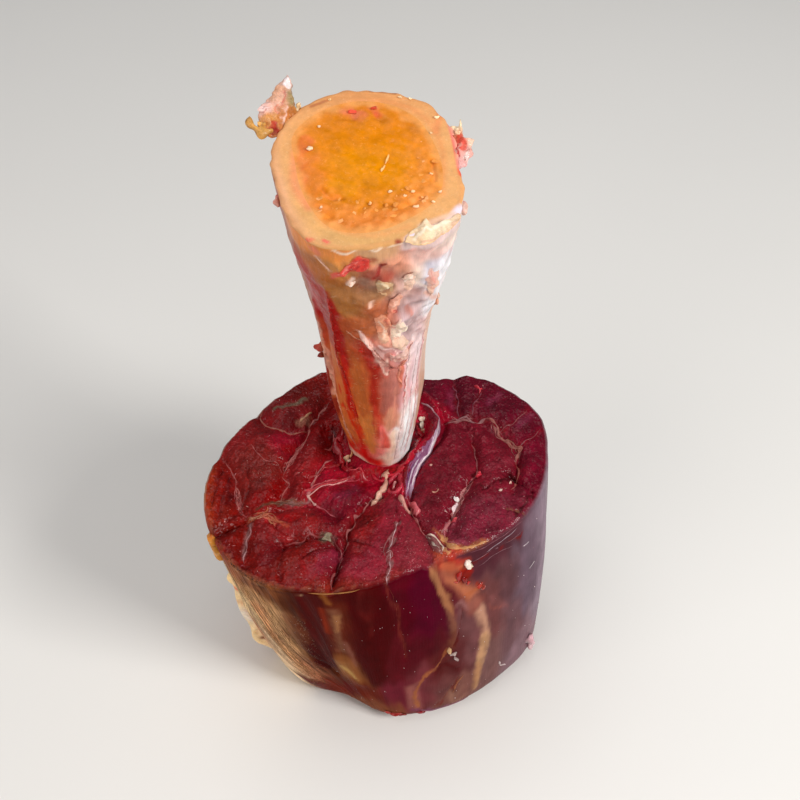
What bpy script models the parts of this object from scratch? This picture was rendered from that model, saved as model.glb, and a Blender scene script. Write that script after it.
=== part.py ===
"""Raw beef shank: a sawn shank bone that stands up out of a thick cut of meat.

The meat stands on its lower cut. The bone runs through it, and the marrow runs through the bone.
Two tags of gristle hang on at the sawn end, and a flap of fat at the left of the meat.
Metres, +Z up, +Y to the back. The origin is the middle of the flat lower cut.
Sizes below are in millimetres and degrees until a mesh is made.
"""
import math

import bmesh
import bpy
import numpy as np

MM = 0.001

# Meat
CUT_HEIGHT = 135.0
RIM = (  # outline of the upper cut, seen from above
    (79, 10), (77, 33), (66, 47), (46, 59), (21, 57), (8, 65), (-31, 62), (-53, 45), (-67, 29),
    (-79, 9), (-83, -8), (-77, -37), (-54, -61), (-33, -66), (-3, -63), (22, -52), (49, -40), (73, -15),
)
FOOT = (  # outline of the meat's lower edge, where the wall turns under
    (79, 12), (66, 40), (38, 58), (0, 60), (-35, 50), (-58, 28), (-66, 2), (-61, -25), (-43, -46),
    (-21, -53), (3, -64), (34, -59), (62, -42), (80, -21),
)
FOOT_TURN_HEIGHT = 12.0
FOOT_TURN_INSET = 8.0
RIM_CHAMFER = 1.6
WALL_BULGE = 2.0
WALL_LEAN = 0.6  # how far the bulge leans to the right
WALL_SEAMS = (-117.0, -83.0, -62.0)  # where pale seams run down the front wall
WALL_SEAM_DEPTH = 1.3
WALL_SEAM_HALF_WIDTH = 4.0

# Upper cut: lobes of muscle swell between the seams
SEAMS = (
    ((-77, 9), (-69, -5), (-67, -18), (-61, -27), (-76, -36)),
    ((-26, 44), (-36, 26), (-46, 1), (-44, -7), (-47, -20), (-34, -18)),
    ((-60, 34), (-56, 26), (-43, 23), (-36, 25)),
    ((-24, 25), (-25, 15), (-32, -4), (-34, -18), (-21, -26)),
    ((-61, -27), (-62, -42), (-60, -52)),
    ((-44, -42), (-30, -37), (-20, -43), (-20, -60)),
    ((0, -14), (-10, -25), (-16, -40), (-22, -64)),
    ((10, -16), (18, -32), (22, -52)),
    ((35, 56), (37, 34), (44, 15), (43, -4), (34, -22), (28, -40)),
    ((28, 31), (45, 30), (60, 18), (65, 8), (61, -12)),
)
SEAM_DEPTH = 2.6
SEAM_HALF_WIDTH = 3.6
LOBES = (  # centre x and y, half widths, height
    (52, -8, 17, 20, 1.6), (33, 8, 9, 18, 1.2), (60, 34, 14, 10, 1.4), (22, 50, 10, 9, 1.0),
    (-58, 14, 10, 12, 1.8), (-57, -12, 7, 12, 1.5), (-44, 34, 9, 7, 1.6), (-32, 12, 6, 12, 1.2),
    (-42, -32, 16, 8, 1.6), (-40, -52, 14, 7, 1.4), (-14, -32, 8, 8, 1.5), (2, -42, 10, 13, 2.2),
    (-70, -24, 8, 9, -1.5),
)
HOLLOWS = (  # sunk places beside the bone: centre x and y, half widths, depth
    (-19, 10, 7, 13, 8.0), (-6, -5, 9, 5, 4.5), (15, -6, 4, 8, 3.0),
)
FOLD = ((20, 43), (28, 34), (24, 20), (14, 7), (12, -4), (10, -17))
FOLD_HEIGHT = 5.0
FOLD_HALF_WIDTH = 3.2

# Bone: it leaves the meat at the upper cut, and leans to the front
BONE_LENGTH = 192.0
BONE_LEAN = 10.0
BONE_LEAN_LEFT = 0.6
BONE_AT_CUT = (-0.9, 18.7)
BONE_HALF_WIDTH = (  # distance along the bone from the upper cut, half width
    (-135, 21.0), (-70, 18.0), (0, 15.6), (22, 18.2), (50, 20.7), (83, 21.9), (119, 24.6),
    (151, 29.2), (173, 32.2), (192, 33.6),
)
SAWN_OUTLINE = (  # angle round the sawn end from +X, radius
    (0, 31.5), (34, 35.2), (58, 37.3), (83, 36.9), (114, 37.8), (142, 36.0), (166, 34.0), (192, 31.1),
    (224, 33.5), (239, 35.2), (269, 33.1), (289, 31.7), (330, 35.6), (350, 33.0),
)
CANAL_OUTLINE = (
    (0, 25.6), (30, 26.0), (58, 29.3), (93, 31.6), (124, 31.3), (149, 29.9), (170, 25.0), (195, 23.3),
    (219, 24.3), (245, 27.2), (281, 26.1), (300, 25.2), (340, 26.5),
)
FLARE_START = 70.0
SHAFT_TRIANGLE = 0.06  # share by which the shaft's three ridges stand out
SHAFT_RIDGE_ANGLE = 285.0
CANAL_NARROWING = 0.76  # canal of the shaft against that of the flared end, for the same outside
BONE_LUMPS = (  # angle, distance from the upper cut, half width, height
    (288, 186, 6, 1.2), (308, 187, 5, 1.8), (326, 186, 5, 1.0), (300, 142, 8, 1.6), (290, 122, 6, 1.4),
    (225, 168, 8, 1.0),
)

SAWN_EDGE = 1.2  # how far the sawn end's edge is broken
SAWN_UNEVEN = 0.25
MARROW_SUNK = 0.4  # marrow below the sawn bone
MARROW_FOOT_SUNK = 0.5
MARROW_UNEVEN = 0.5

# Fit
GAP = 0.35
BORE_GAP = 0.5
TAG_CLEAR = 0.95  # from what a tag or the flap grows on to its root line
FLAP_CLEAR = 0.65

# Tags and flap: along the root from 0 to 1, reach
GRISTLE_ROOT = (154.0, 130.0)  # angles round the sawn end
GRISTLE_TURN = (176.0, 98.0)  # angles of the way that the tag points
GRISTLE_REACH = (
    (0, 8.0), (0.1, 11.5), (0.2, 7.0), (0.32, 7.2), (0.5, 9.5), (0.68, 12.5), (0.84, 14.6), (0.93, 9.0),
    (1, 2.5),
)
GRISTLE_RISE = 0.45
GRISTLE_THICKNESS = 3.2
RIM_TAG_ROOT = (37.0, -2.0)
RIM_TAG_TURN = (62.0, -10.0)
RIM_TAG_REACH = (
    (0, 1.2), (0.14, 4.0), (0.27, 2.6), (0.42, 5.4), (0.52, 3.6), (0.7, 4.0), (0.85, 3.6), (1, 1.2),
)
RIM_TAG_RISE = 0.25
RIM_TAG_THICKNESS = 2.4
FLAP_ROOT = ((197.0, 92.0), (206.0, 16.0))  # plan angle and height of the flap's upper and lower end
FLAP_REACH = ((0, 2.2), (0.1, 3.0), (0.35, 3.6), (0.6, 5.2), (0.85, 6.0), (0.95, 5.2), (1, 3.0))
FLAP_THICKNESS = 4.2
SHEET_OUT = (0, 0.35, 0.7, 1, 0.7, 0.35, 0)  # round a section: share of the reach
SHEET_HALF = (0.5, 0.46, 0.32, 0, -0.32, -0.46, -0.5)  # and distance from its middle, in thicknesses

# Mesh density
MEAT_COLUMNS = 90
CUT_RINGS = 19
WALL_RINGS = 11
FOOT_RING_HEIGHTS = (6.0, 2.0, 0.0)
FOOT_RING_SHARES = (0.33, 0.67)
BORE_RINGS = 6
RINGS_CLOSE_UP = 1.5  # power by which the rings inside the meat draw together near the upper cut
BONE_COLUMNS = 40
BONE_RINGS_INSIDE = 8
BONE_RINGS_BARE = 20
BONE_BARE_START = 4.0
SAWN_RING_SHARES = (0.1, 0.55)
CANAL_RINGS = 12
MARROW_COLUMNS = 28
MARROW_RING_SHARES = (0.72, 0.4)
TAG_RINGS = 15
FLAP_RINGS = 17
OUTLINE_STEPS = 2000
EDGE_STEPS = 4


def smooth_curve(knots, at, period=None):
    """Cubic curve through the knots, whose slopes are those of a parabola through three of them."""
    places, values = np.array(knots, float).T
    at = np.asarray(at, float)
    if period:
        places = np.concatenate([places[-3:] - period, places, places[:3] + period])
        values = np.concatenate([values[-3:], values, values[:3]])
        at = np.mod(at - places[3], period) + places[3]
    slopes = np.gradient(values, places)
    i = np.clip(np.searchsorted(places, at, side="right") - 1, 0, len(places) - 2)
    step = places[i + 1] - places[i]
    t = (at - places[i]) / step
    start = (1 + 2 * t) * (1 - t) ** 2 * values[i] + t * (1 - t) ** 2 * step * slopes[i]
    end = t**2 * (3 - 2 * t) * values[i + 1] + t**2 * (t - 1) * step * slopes[i + 1]
    return start + end


def ease(t):
    """0 to 1 with level ends."""
    t = np.clip(t, 0, 1)
    return t * t * (3 - 2 * t)


def outline_radius(points, angles):
    """Radius, at these plan angles in radians, of a smooth closed outline through the plan points."""
    x, y = np.array(points, float).T
    knots = sorted(zip(np.mod(np.arctan2(y, x), 2 * math.pi), np.hypot(x, y)))
    return smooth_curve(knots, angles, 2 * math.pi)


def plan_ring(points, angles):
    radius = outline_radius(points, angles)
    return np.stack([radius * np.cos(angles), radius * np.sin(angles)], axis=-1)


def even_angles(points, count):
    """Plan angles that part the outline into stretches of one length."""
    dense = np.linspace(0, 2 * math.pi, OUTLINE_STEPS + 1)
    ring = plan_ring(points, dense)
    length = np.concatenate([[0], np.cumsum(np.hypot(*np.diff(ring, axis=0).T))])
    return np.interp(np.arange(count) / count * length[-1], length, dense)


def distance_to_path(x, y, path):
    """Plan distance from each point to a path of straight stretches."""
    nearest = np.full(np.shape(x), np.inf)
    for (ax, ay), (bx, by) in zip(path[:-1], path[1:]):
        run_x, run_y = bx - ax, by - ay
        along = np.clip(((x - ax) * run_x + (y - ay) * run_y) / (run_x**2 + run_y**2), 0, 1)
        nearest = np.minimum(nearest, np.hypot(x - ax - along * run_x, y - ay - along * run_y))
    return nearest


def bell(distance, half_width):
    return np.exp(-((distance / half_width) ** 2))


def cut_relief(x, y):
    """Height of the upper cut over its plane: lobes, less the seams and hollows, plus the fold."""
    height = np.zeros(np.shape(x))
    for lobe_x, lobe_y, wide, deep, rise in LOBES:
        height += rise * bell(np.hypot((x - lobe_x) / wide, (y - lobe_y) / deep), 1)
    seam = np.min([distance_to_path(x, y, path) for path in SEAMS], axis=0)
    height -= SEAM_DEPTH * bell(seam, SEAM_HALF_WIDTH)
    for hollow_x, hollow_y, wide, deep, depth in HOLLOWS:
        height -= depth * bell(np.hypot((x - hollow_x) / wide, (y - hollow_y) / deep), 1)
    return height + FOLD_HEIGHT * bell(distance_to_path(x, y, FOLD), FOLD_HALF_WIDTH)


def wall_radius(angles, height):
    """Radius of the meat's wall: foot outline to rim outline, with a slight bulge and its seams."""
    share = np.clip((height - FOOT_TURN_HEIGHT) / (CUT_HEIGHT - FOOT_TURN_HEIGHT), 0, 1)
    foot = outline_radius(FOOT, angles)
    rim = outline_radius(RIM, angles)
    bulge = WALL_BULGE + WALL_LEAN * np.cos(angles)
    radius = foot + (rim - foot) * share + bulge * np.sin(math.pi * share)
    for seam in WALL_SEAMS:
        off = np.mod(angles - math.radians(seam) + math.pi, 2 * math.pi) - math.pi
        radius = radius - WALL_SEAM_DEPTH * np.sin(math.pi * share) * bell(off * rim, WALL_SEAM_HALF_WIDTH)
    turn = np.clip(1 - height / FOOT_TURN_HEIGHT, 0, 1)
    return radius - FOOT_TURN_INSET * (1 - np.sqrt(1 - turn**2))


def wall_point(angles, height, out=0.0):
    radius = wall_radius(angles, height) + out
    return np.stack([radius * np.cos(angles), radius * np.sin(angles), height + 0 * radius], axis=-1)


def bone_axis(along):
    """Point on the bone's centre line and its way up there. Inside the meat the line turns upright."""
    along = np.asarray(along, float)
    lean = math.radians(BONE_LEAN)
    depth = np.clip(-along, 0, CUT_HEIGHT)
    bare = np.clip(along, 0, None)
    inside = math.tan(lean) * depth * (1 - depth / (2 * CUT_HEIGHT))
    x = BONE_AT_CUT[0] - math.tan(math.radians(BONE_LEAN_LEFT)) * along
    y = BONE_AT_CUT[1] + inside - math.sin(lean) * bare
    z = CUT_HEIGHT - depth + math.cos(lean) * bare
    tilt = np.arctan(math.tan(lean) * (1 - depth / CUT_HEIGHT))
    up = np.stack([0 * tilt, -np.sin(tilt), np.cos(tilt)], axis=-1)
    return np.stack([x, y, z], axis=-1), up


def flare(along):
    return ease((np.asarray(along, float) - FLARE_START) / (BONE_LENGTH - FLARE_START))


def bone_radius(angles, along):
    """Outside radius: a rounded triangle along the shaft, which turns into the sawn end's outline."""
    degrees = np.degrees(angles)
    half = smooth_curve(BONE_HALF_WIDTH, along)
    ridges = 1 + SHAFT_TRIANGLE * np.cos(3 * (angles - math.radians(SHAFT_RIDGE_ANGLE)))
    end = smooth_curve(SAWN_OUTLINE, degrees, 360) / BONE_HALF_WIDTH[-1][1]
    radius = half * (ridges + (end - ridges) * flare(along))
    for lump_angle, lump_along, wide, rise in BONE_LUMPS:
        off = np.mod(degrees - lump_angle + 180, 360) - 180
        radius = radius + rise * bell(np.hypot(np.radians(off) * half, along - lump_along), wide)
    return radius


def canal_radius(angles, along):
    half = smooth_curve(BONE_HALF_WIDTH, along) / BONE_HALF_WIDTH[-1][1]
    share = CANAL_NARROWING + (1 - CANAL_NARROWING) * flare(along)
    return smooth_curve(CANAL_OUTLINE, np.degrees(angles), 360) * half * share


def bone_point(angles, along, radius, lift=0.0):
    """Point at this angle and radius round the centre line, raised by lift along it."""
    centre, up = bone_axis(along)
    across = np.stack([0 * up[..., 0], up[..., 2], -up[..., 1]], axis=-1)
    side = np.array([1.0, 0.0, 0.0])
    x = (radius * np.cos(angles))[..., None]
    y = (radius * np.sin(angles))[..., None]
    return centre + x * side + y * across + np.asarray(lift)[..., None] * up


def material(name, colour, roughness):
    made = bpy.data.materials.new(name)
    made.use_nodes = True
    shader = made.node_tree.nodes["Principled BSDF"]
    shader.inputs["Base Color"].default_value = (*colour, 1)
    shader.inputs["Roughness"].default_value = roughness
    made.diffuse_color = (*colour, 1)
    return made


def body(name, rings, capped, finish):
    """Closed mesh of rings of points, in millimetres. It closes on itself, or on a point at each end."""
    rings = np.asarray(rings, float)
    count, columns = rings.shape[:2]
    points = rings.reshape(-1, 3)
    row = np.arange(count - 1 if capped else count)[:, None] * columns
    column = np.arange(columns)[None, :]
    after = (column + 1) % columns
    above = (row + columns) % (count * columns)
    quads = np.stack([row + column, row + after, above + after, above + column], axis=-1)
    faces = quads.reshape(-1, 4).tolist()
    if capped:
        ends = np.stack([rings[0].mean(axis=0), rings[-1].mean(axis=0)])
        points = np.concatenate([points, ends])
        low = count * columns
        last = (count - 1) * columns
        for at in range(columns):
            beside = (at + 1) % columns
            faces.append((low, beside, at))
            faces.append((low + 1, last + at, last + beside))
    mesh = bpy.data.meshes.new(name)
    mesh.from_pydata((points * MM).tolist(), [], faces)
    work = bmesh.new()
    work.from_mesh(mesh)
    bmesh.ops.recalc_face_normals(work, faces=work.faces)
    work.to_mesh(mesh)
    work.free()
    mesh.shade_smooth()
    mesh.materials.append(finish)
    made = bpy.data.objects.new(name, mesh)
    bpy.context.scene.collection.objects.link(made)
    return made


def make_meat(finish):
    """Rings: up the bore, out over the upper cut, down the wall, and back in under the foot."""
    angles = even_angles(RIM, MEAT_COLUMNS)
    rim = plan_ring(RIM, angles)
    rim *= 1 - RIM_CHAMFER / np.hypot(*rim.T)[:, None]
    foot = wall_point(angles, 0.0)
    bone_foot = bone_axis(-CUT_HEIGHT)[0]
    turn_top = np.arctan2(rim[:, 1] - BONE_AT_CUT[1], rim[:, 0] - BONE_AT_CUT[0])
    turn_foot = np.arctan2(foot[:, 1] - bone_foot[1], foot[:, 0] - bone_foot[0])
    turn_foot = turn_top + np.mod(turn_foot - turn_top + math.pi, 2 * math.pi) - math.pi

    def bore_ring(share, along):
        turn = turn_foot + (turn_top - turn_foot) * share
        return bone_point(turn, along, bone_radius(turn, along) + BORE_GAP)

    top = np.zeros(MEAT_COLUMNS)
    for _ in range(EDGE_STEPS):  # slides the bore's edge along the bone until it meets the cut's relief
        edge = bore_ring(1.0, top)
        top += CUT_HEIGHT + cut_relief(edge[:, 0], edge[:, 1]) - edge[:, 2]
    rings = []
    for share in 1 - (1 - np.arange(BORE_RINGS + 1) / BORE_RINGS) ** RINGS_CLOSE_UP:
        rings.append(bore_ring(share, -CUT_HEIGHT + (top + CUT_HEIGHT) * share))
    inner = rings[-1][:, :2]
    for share in np.arange(1, CUT_RINGS + 1) / CUT_RINGS:
        x, y = (inner + (rim - inner) * share).T
        rings.append(np.stack([x, y, CUT_HEIGHT + cut_relief(x, y)], axis=-1))
    wall_top = rings[-1][:, 2] - RIM_CHAMFER
    for share in np.arange(WALL_RINGS + 1) / WALL_RINGS:
        rings.append(wall_point(angles, wall_top + (FOOT_TURN_HEIGHT - wall_top) * share))
    for height in FOOT_RING_HEIGHTS:
        rings.append(wall_point(angles, np.full(MEAT_COLUMNS, height)))
    outer, under = rings[-1], rings[0]
    under[:, 2] = 0
    for share in FOOT_RING_SHARES:
        rings.append(outer + (under - outer) * share)
    return body("meat", rings, False, finish)


def make_bone(finish):
    """Rings: up the outside, in over the sawn end, and down the canal to the lower cut."""
    angles = np.arange(BONE_COLUMNS) / BONE_COLUMNS * 2 * math.pi
    ones = np.ones(BONE_COLUMNS)
    inside = -CUT_HEIGHT * (1 - np.arange(BONE_RINGS_INSIDE) / BONE_RINGS_INSIDE) ** RINGS_CLOSE_UP
    bare = np.linspace(BONE_BARE_START, BONE_LENGTH - SAWN_EDGE, BONE_RINGS_BARE)
    rings = [bone_point(angles, along * ones, bone_radius(angles, along)) for along in (*inside, *bare)]
    outer = bone_radius(angles, BONE_LENGTH)
    canal = canal_radius(angles, BONE_LENGTH)
    for share in SAWN_RING_SHARES:
        radius = outer + (canal - outer) * share
        lift = SAWN_UNEVEN * np.sin(5 * angles + 9 * share)
        rings.append(bone_point(angles, BONE_LENGTH * ones, radius, lift))
    for along in np.linspace(BONE_LENGTH, -CUT_HEIGHT, CANAL_RINGS):
        rings.append(bone_point(angles, along * ones, canal_radius(angles, along)))
    return body("bone", rings, False, finish)


def make_marrow(finish):
    """A plug that fills the canal, with a slightly uneven sawn face."""
    angles = np.arange(MARROW_COLUMNS) / MARROW_COLUMNS * 2 * math.pi
    ones = np.ones(MARROW_COLUMNS)
    low = -CUT_HEIGHT + MARROW_FOOT_SUNK
    high = BONE_LENGTH - MARROW_SUNK
    rings = []
    for along in np.linspace(low, high, CANAL_RINGS):
        rings.append(bone_point(angles, along * ones, canal_radius(angles, along) - GAP))
    for share in MARROW_RING_SHARES:
        lift = MARROW_UNEVEN * (np.sin(3 * angles + 8 * share) - share)
        rings.append(bone_point(angles, high * ones, (canal_radius(angles, high) - GAP) * share, lift))
    return body("marrow", rings, True, finish)


def sheet_body(name, root, way, face, reach, thickness, finish):
    """A ragged tag: a flat tube along its root, thick at the root and thin at its free edge.

    Each ring runs out along one face to the free edge and back along the other.
    """
    out = np.array(SHEET_OUT)
    half = np.array(SHEET_HALF) * thickness
    points = (
        root[:, None, :]
        + way[:, None, :] * (reach[:, None] * out)[..., None]
        + face[:, None, :] * half[None, :, None]
    )
    return body(name, points, True, finish)


def unit(vectors):
    return vectors / np.linalg.norm(vectors, axis=-1, keepdims=True)


def end_tag(name, root_angles, turn_angles, reach, rise, thickness, finish):
    """A tag whose root lies along the bone's outside, just under the sawn end."""
    share = np.linspace(0, 1, TAG_RINGS)
    angles = np.radians(root_angles[0] + (root_angles[1] - root_angles[0]) * share)
    turn = np.radians(turn_angles[0] + (turn_angles[1] - turn_angles[0]) * share)
    along = np.full(share.shape, BONE_LENGTH - thickness)
    root = bone_point(angles, along, bone_radius(angles, along) + TAG_CLEAR)
    centre, up = bone_axis(along)
    way = unit(bone_point(turn, along, 1.0) - centre + rise * up)
    side = np.gradient(root, axis=0)
    face = unit(np.cross(side, way))
    return sheet_body(name, root, way, face, smooth_curve(reach, share), thickness, finish)


def make_flap(finish):
    """A flap of fat that stands out from the wall, along a line that runs down its left side."""
    share = np.linspace(0, 1, FLAP_RINGS)
    (top_angle, top_height), (low_angle, low_height) = FLAP_ROOT
    angles = np.radians(top_angle + (low_angle - top_angle) * share)
    height = top_height + (low_height - top_height) * share
    root = wall_point(angles, height, FLAP_CLEAR)
    way = unit(wall_point(angles, height, 1.0) - wall_point(angles, height))
    face = unit(np.cross(np.gradient(root, axis=0), way))
    return sheet_body("fat_flap", root, way, face, smooth_curve(FLAP_REACH, share), FLAP_THICKNESS, finish)


def main():
    for old in list(bpy.data.objects):
        bpy.data.objects.remove(old)
    make_meat(material("muscle", (0.19, 0.012, 0.018), 0.32))
    make_bone(material("bone", (0.72, 0.45, 0.24), 0.38))
    make_marrow(material("marrow", (0.85, 0.36, 0.05), 0.35))
    gristle = material("gristle", (0.78, 0.48, 0.27), 0.35)
    end_tag(
        "gristle_tag", GRISTLE_ROOT, GRISTLE_TURN, GRISTLE_REACH, GRISTLE_RISE, GRISTLE_THICKNESS, gristle
    )
    end_tag(
        "rim_tag", RIM_TAG_ROOT, RIM_TAG_TURN, RIM_TAG_REACH, RIM_TAG_RISE, RIM_TAG_THICKNESS, gristle
    )
    make_flap(material("fat", (0.83, 0.6, 0.36), 0.4))


main()
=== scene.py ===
"""Looks of a raw beef shank: the sawn shin bone stands up out of a thick cut of meat.

Every surface is a grid of points worked out in millimetres from the same sizes as the solids.
Tones are laid on the points as fields and strokes along paths, then the materials add the fine grain.
A path is text, as in "x,y x,y", in millimetres or, on the wall and the bone, in degrees round and height.
"""
import math

import bpy
import numpy as np
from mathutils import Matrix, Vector


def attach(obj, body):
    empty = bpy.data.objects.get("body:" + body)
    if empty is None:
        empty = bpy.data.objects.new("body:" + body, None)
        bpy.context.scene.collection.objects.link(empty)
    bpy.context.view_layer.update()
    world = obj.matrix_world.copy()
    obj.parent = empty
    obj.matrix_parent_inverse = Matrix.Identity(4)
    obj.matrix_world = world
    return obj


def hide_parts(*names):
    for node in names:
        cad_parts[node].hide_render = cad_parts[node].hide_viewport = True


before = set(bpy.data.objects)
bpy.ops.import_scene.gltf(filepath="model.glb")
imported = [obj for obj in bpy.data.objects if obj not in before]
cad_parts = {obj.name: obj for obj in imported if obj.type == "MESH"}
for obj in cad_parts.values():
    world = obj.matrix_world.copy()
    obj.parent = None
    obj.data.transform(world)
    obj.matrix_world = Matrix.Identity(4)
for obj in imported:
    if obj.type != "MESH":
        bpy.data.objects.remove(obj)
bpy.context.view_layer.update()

MM = 0.001

# Sizes of the solids, in millimetres and degrees
CUT_HEIGHT = 135.0
RIM = (
    (79, 10), (77, 33), (66, 47), (46, 59), (21, 57), (8, 65), (-31, 62), (-53, 45), (-67, 29),
    (-79, 9), (-83, -8), (-77, -37), (-54, -61), (-33, -66), (-3, -63), (22, -52), (49, -40), (73, -15),
)
FOOT = (
    (79, 12), (66, 40), (38, 58), (0, 60), (-35, 50), (-58, 28), (-66, 2), (-61, -25), (-43, -46),
    (-21, -53), (3, -64), (34, -59), (62, -42), (80, -21),
)
FOOT_TURN_HEIGHT = 12.0
FOOT_TURN_INSET = 8.0
RIM_CHAMFER = 1.6
WALL_BULGE = 2.0
WALL_LEAN = 0.6
WALL_SEAMS = (-117.0, -83.0, -62.0)
WALL_SEAM_DEPTH = 1.3
WALL_SEAM_HALF_WIDTH = 4.0
SEAMS = (
    ((-77, 9), (-69, -5), (-67, -18), (-61, -27), (-76, -36)),
    ((-26, 44), (-36, 26), (-46, 1), (-44, -7), (-47, -20), (-34, -18)),
    ((-60, 34), (-56, 26), (-43, 23), (-36, 25)),
    ((-24, 25), (-25, 15), (-32, -4), (-34, -18), (-21, -26)),
    ((-61, -27), (-62, -42), (-60, -52)),
    ((-44, -42), (-30, -37), (-20, -43), (-20, -60)),
    ((0, -14), (-10, -25), (-16, -40), (-22, -64)),
    ((10, -16), (18, -32), (22, -52)),
    ((35, 56), (37, 34), (44, 15), (43, -4), (34, -22), (28, -40)),
    ((28, 31), (45, 30), (60, 18), (65, 8), (61, -12)),
)
SEAM_DEPTH = 2.6
SEAM_HALF_WIDTH = 3.6
LOBES = (
    (52, -8, 17, 20, 1.6), (33, 8, 9, 18, 1.2), (60, 34, 14, 10, 1.4), (22, 50, 10, 9, 1.0),
    (-58, 14, 10, 12, 1.8), (-57, -12, 7, 12, 1.5), (-44, 34, 9, 7, 1.6), (-32, 12, 6, 12, 1.2),
    (-42, -32, 16, 8, 1.6), (-40, -52, 14, 7, 1.4), (-14, -32, 8, 8, 1.5), (2, -42, 10, 13, 2.2),
    (-70, -24, 8, 9, -1.5),
)
HOLLOWS = ((-19, 10, 7, 13, 8.0), (-6, -5, 9, 5, 4.5), (15, -6, 4, 8, 3.0))
FOLD = ((20, 43), (28, 34), (24, 20), (14, 7), (12, -4), (10, -17))
FOLD_HEIGHT = 5.0
FOLD_HALF_WIDTH = 3.2
BONE_LENGTH = 192.0
BONE_LEAN = 10.0
BONE_LEAN_LEFT = 0.6
BONE_AT_CUT = (-0.9, 18.7)
BONE_HALF_WIDTH = (
    (-135, 21.0), (-70, 18.0), (0, 15.6), (22, 18.2), (50, 20.7), (83, 21.9), (119, 24.6),
    (151, 29.2), (173, 32.2), (192, 33.6),
)
SAWN_OUTLINE = (
    (0, 31.5), (34, 35.2), (58, 37.3), (83, 36.9), (114, 37.8), (142, 36.0), (166, 34.0), (192, 31.1),
    (224, 33.5), (239, 35.2), (269, 33.1), (289, 31.7), (330, 35.6), (350, 33.0),
)
CANAL_OUTLINE = (
    (0, 25.6), (30, 26.0), (58, 29.3), (93, 31.6), (124, 31.3), (149, 29.9), (170, 25.0), (195, 23.3),
    (219, 24.3), (245, 27.2), (281, 26.1), (300, 25.2), (340, 26.5),
)
FLARE_START = 70.0
SHAFT_TRIANGLE = 0.06
SHAFT_RIDGE_ANGLE = 285.0
CANAL_NARROWING = 0.76
BONE_LUMPS = (
    (288, 186, 6, 1.2), (308, 187, 5, 1.8), (326, 186, 5, 1.0), (300, 142, 8, 1.6), (290, 122, 6, 1.4),
    (225, 168, 8, 1.0),
)
GRISTLE_ANGLE = 138.0
GRISTLE_RISE = 0.45
GRISTLE_THICKNESS = 3.2
RIM_TAG_ANGLE = 16.0
RIM_TAG_RISE = 0.25
RIM_TAG_THICKNESS = 2.4
FLAP_ROOT = ((197.0, 92.0), (206.0, 16.0))
FLAP_THICKNESS = 4.2

# Grids
MEAT_COLUMNS = 500
BORE_RINGS = 4
CUT_RINGS = 114
WALL_RINGS = 69
FOOT_RING_HEIGHTS = (9.0, 6.0, 3.5, 1.5, 0.5, 0.0)
UNDER_RINGS = 5
FRONT_CLOSER = 0.6  # by how much more than at the back the columns crowd at the front
CROWDING_FROM = 45.0  # plan y at which the crowding starts, and the run over which it grows
CROWDING_RUN = 60.0
BONE_COLUMNS = 280
BONE_RINGS_INSIDE = 6
BONE_RINGS_BARE = 310
BONE_BARE_FROM = -14.0  # where the close rings start, under the upper cut
SAWN_RINGS = 24
CANAL_RINGS = 8
MARROW_COLUMNS = 200
MARROW_RINGS = 64
MARROW_SIDE_RINGS = 8

# Counts of the small things that are drawn at random
FASCIA_FIBRES = 230
CUT_FLECKS = 520
WALL_SPECKS = 80
LEFT_SPECKS = 150
BONE_SCRAPES = 150
MARROW_CURDS = 36
WALL_ROUND = 70.0  # mean radius by which an angle on the wall becomes millimetres
BORE_CLEAR = 0.1  # gap between the bore and the bone

# Tones, as they look in soft daylight
TONES = {
    "right_muscle": "#690E1E", "right_front": "#6E192B", "outer_band": "#61031B", "back_band": "#560318",
    "front_muscle": "#7E1B2A", "front_rose": "#80242F", "plum": "#68071A", "front_left": "#771315",
    # The deep and dark tones are also laid in the cut's creases and hollows and beside its seams as painted
    # shade.
    "left_outer": "#6C0B06", "left_edge": "#91280B", "marbled": "#6D1814", "deep": "#720102",
    "blood": "#860808", "dark": "#3A0206", "crimson": "#980923", "grey": "#86706E", "olive": "#6E6450",
    # The last tone is a painted sheen: the pale sky's reflection on the wet cut, laid in strokes over the
    # muscle and along the fold.
    "fat_yellow": "#A05737", "fat_peach": "#B44C30", "sky_sheen": "#852F49",
}


def smooth_curve(knots, at, period=None):
    """Cubic curve through the knots, whose slopes are those of a parabola through three of them."""
    places, values = np.array(knots, float).T
    at = np.asarray(at, float)
    if period:
        places = np.concatenate([places[-3:] - period, places, places[:3] + period])
        values = np.concatenate([values[-3:], values, values[:3]])
        at = np.mod(at - places[3], period) + places[3]
    slopes = np.gradient(values, places)
    i = np.clip(np.searchsorted(places, at, side="right") - 1, 0, len(places) - 2)
    step = places[i + 1] - places[i]
    t = (at - places[i]) / step
    start = (1 + 2 * t) * (1 - t) ** 2 * values[i] + t * (1 - t) ** 2 * step * slopes[i]
    end = t**2 * (3 - 2 * t) * values[i + 1] + t**2 * (t - 1) * step * slopes[i + 1]
    return start + end


def ease(t):
    """0 to 1 with level ends."""
    t = np.clip(t, 0, 1)
    return t * t * (3 - 2 * t)


def bell(distance, half_width):
    """1 at no distance, falling as a Gaussian curve."""
    return np.exp(-((distance / half_width) ** 2))


def unit(vectors):
    """Each vector over its length."""
    return vectors / np.maximum(np.linalg.norm(vectors, axis=-1, keepdims=True), 1e-9)


def ripple(points, size, seed, waves=20):
    """Random swells about this size across: a sum of sine waves in drawn directions, of spread 1."""
    draw = np.random.default_rng(seed)
    ways = unit(draw.normal(size=(waves, points.shape[-1])))
    lengths = size * draw.uniform(1.2, 2.8, waves)
    turns = draw.uniform(0, 2 * math.pi, waves)
    phase = points @ (ways / lengths[:, None] * 2 * math.pi).T + turns
    return np.sin(phase).sum(axis=-1) * math.sqrt(2 / waves)


def path_points(path):
    """Points of a path, from its text or from points as they are."""
    if isinstance(path, str):
        path = [place.split(",") for place in path.split()]
    return np.array(path, float)


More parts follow.
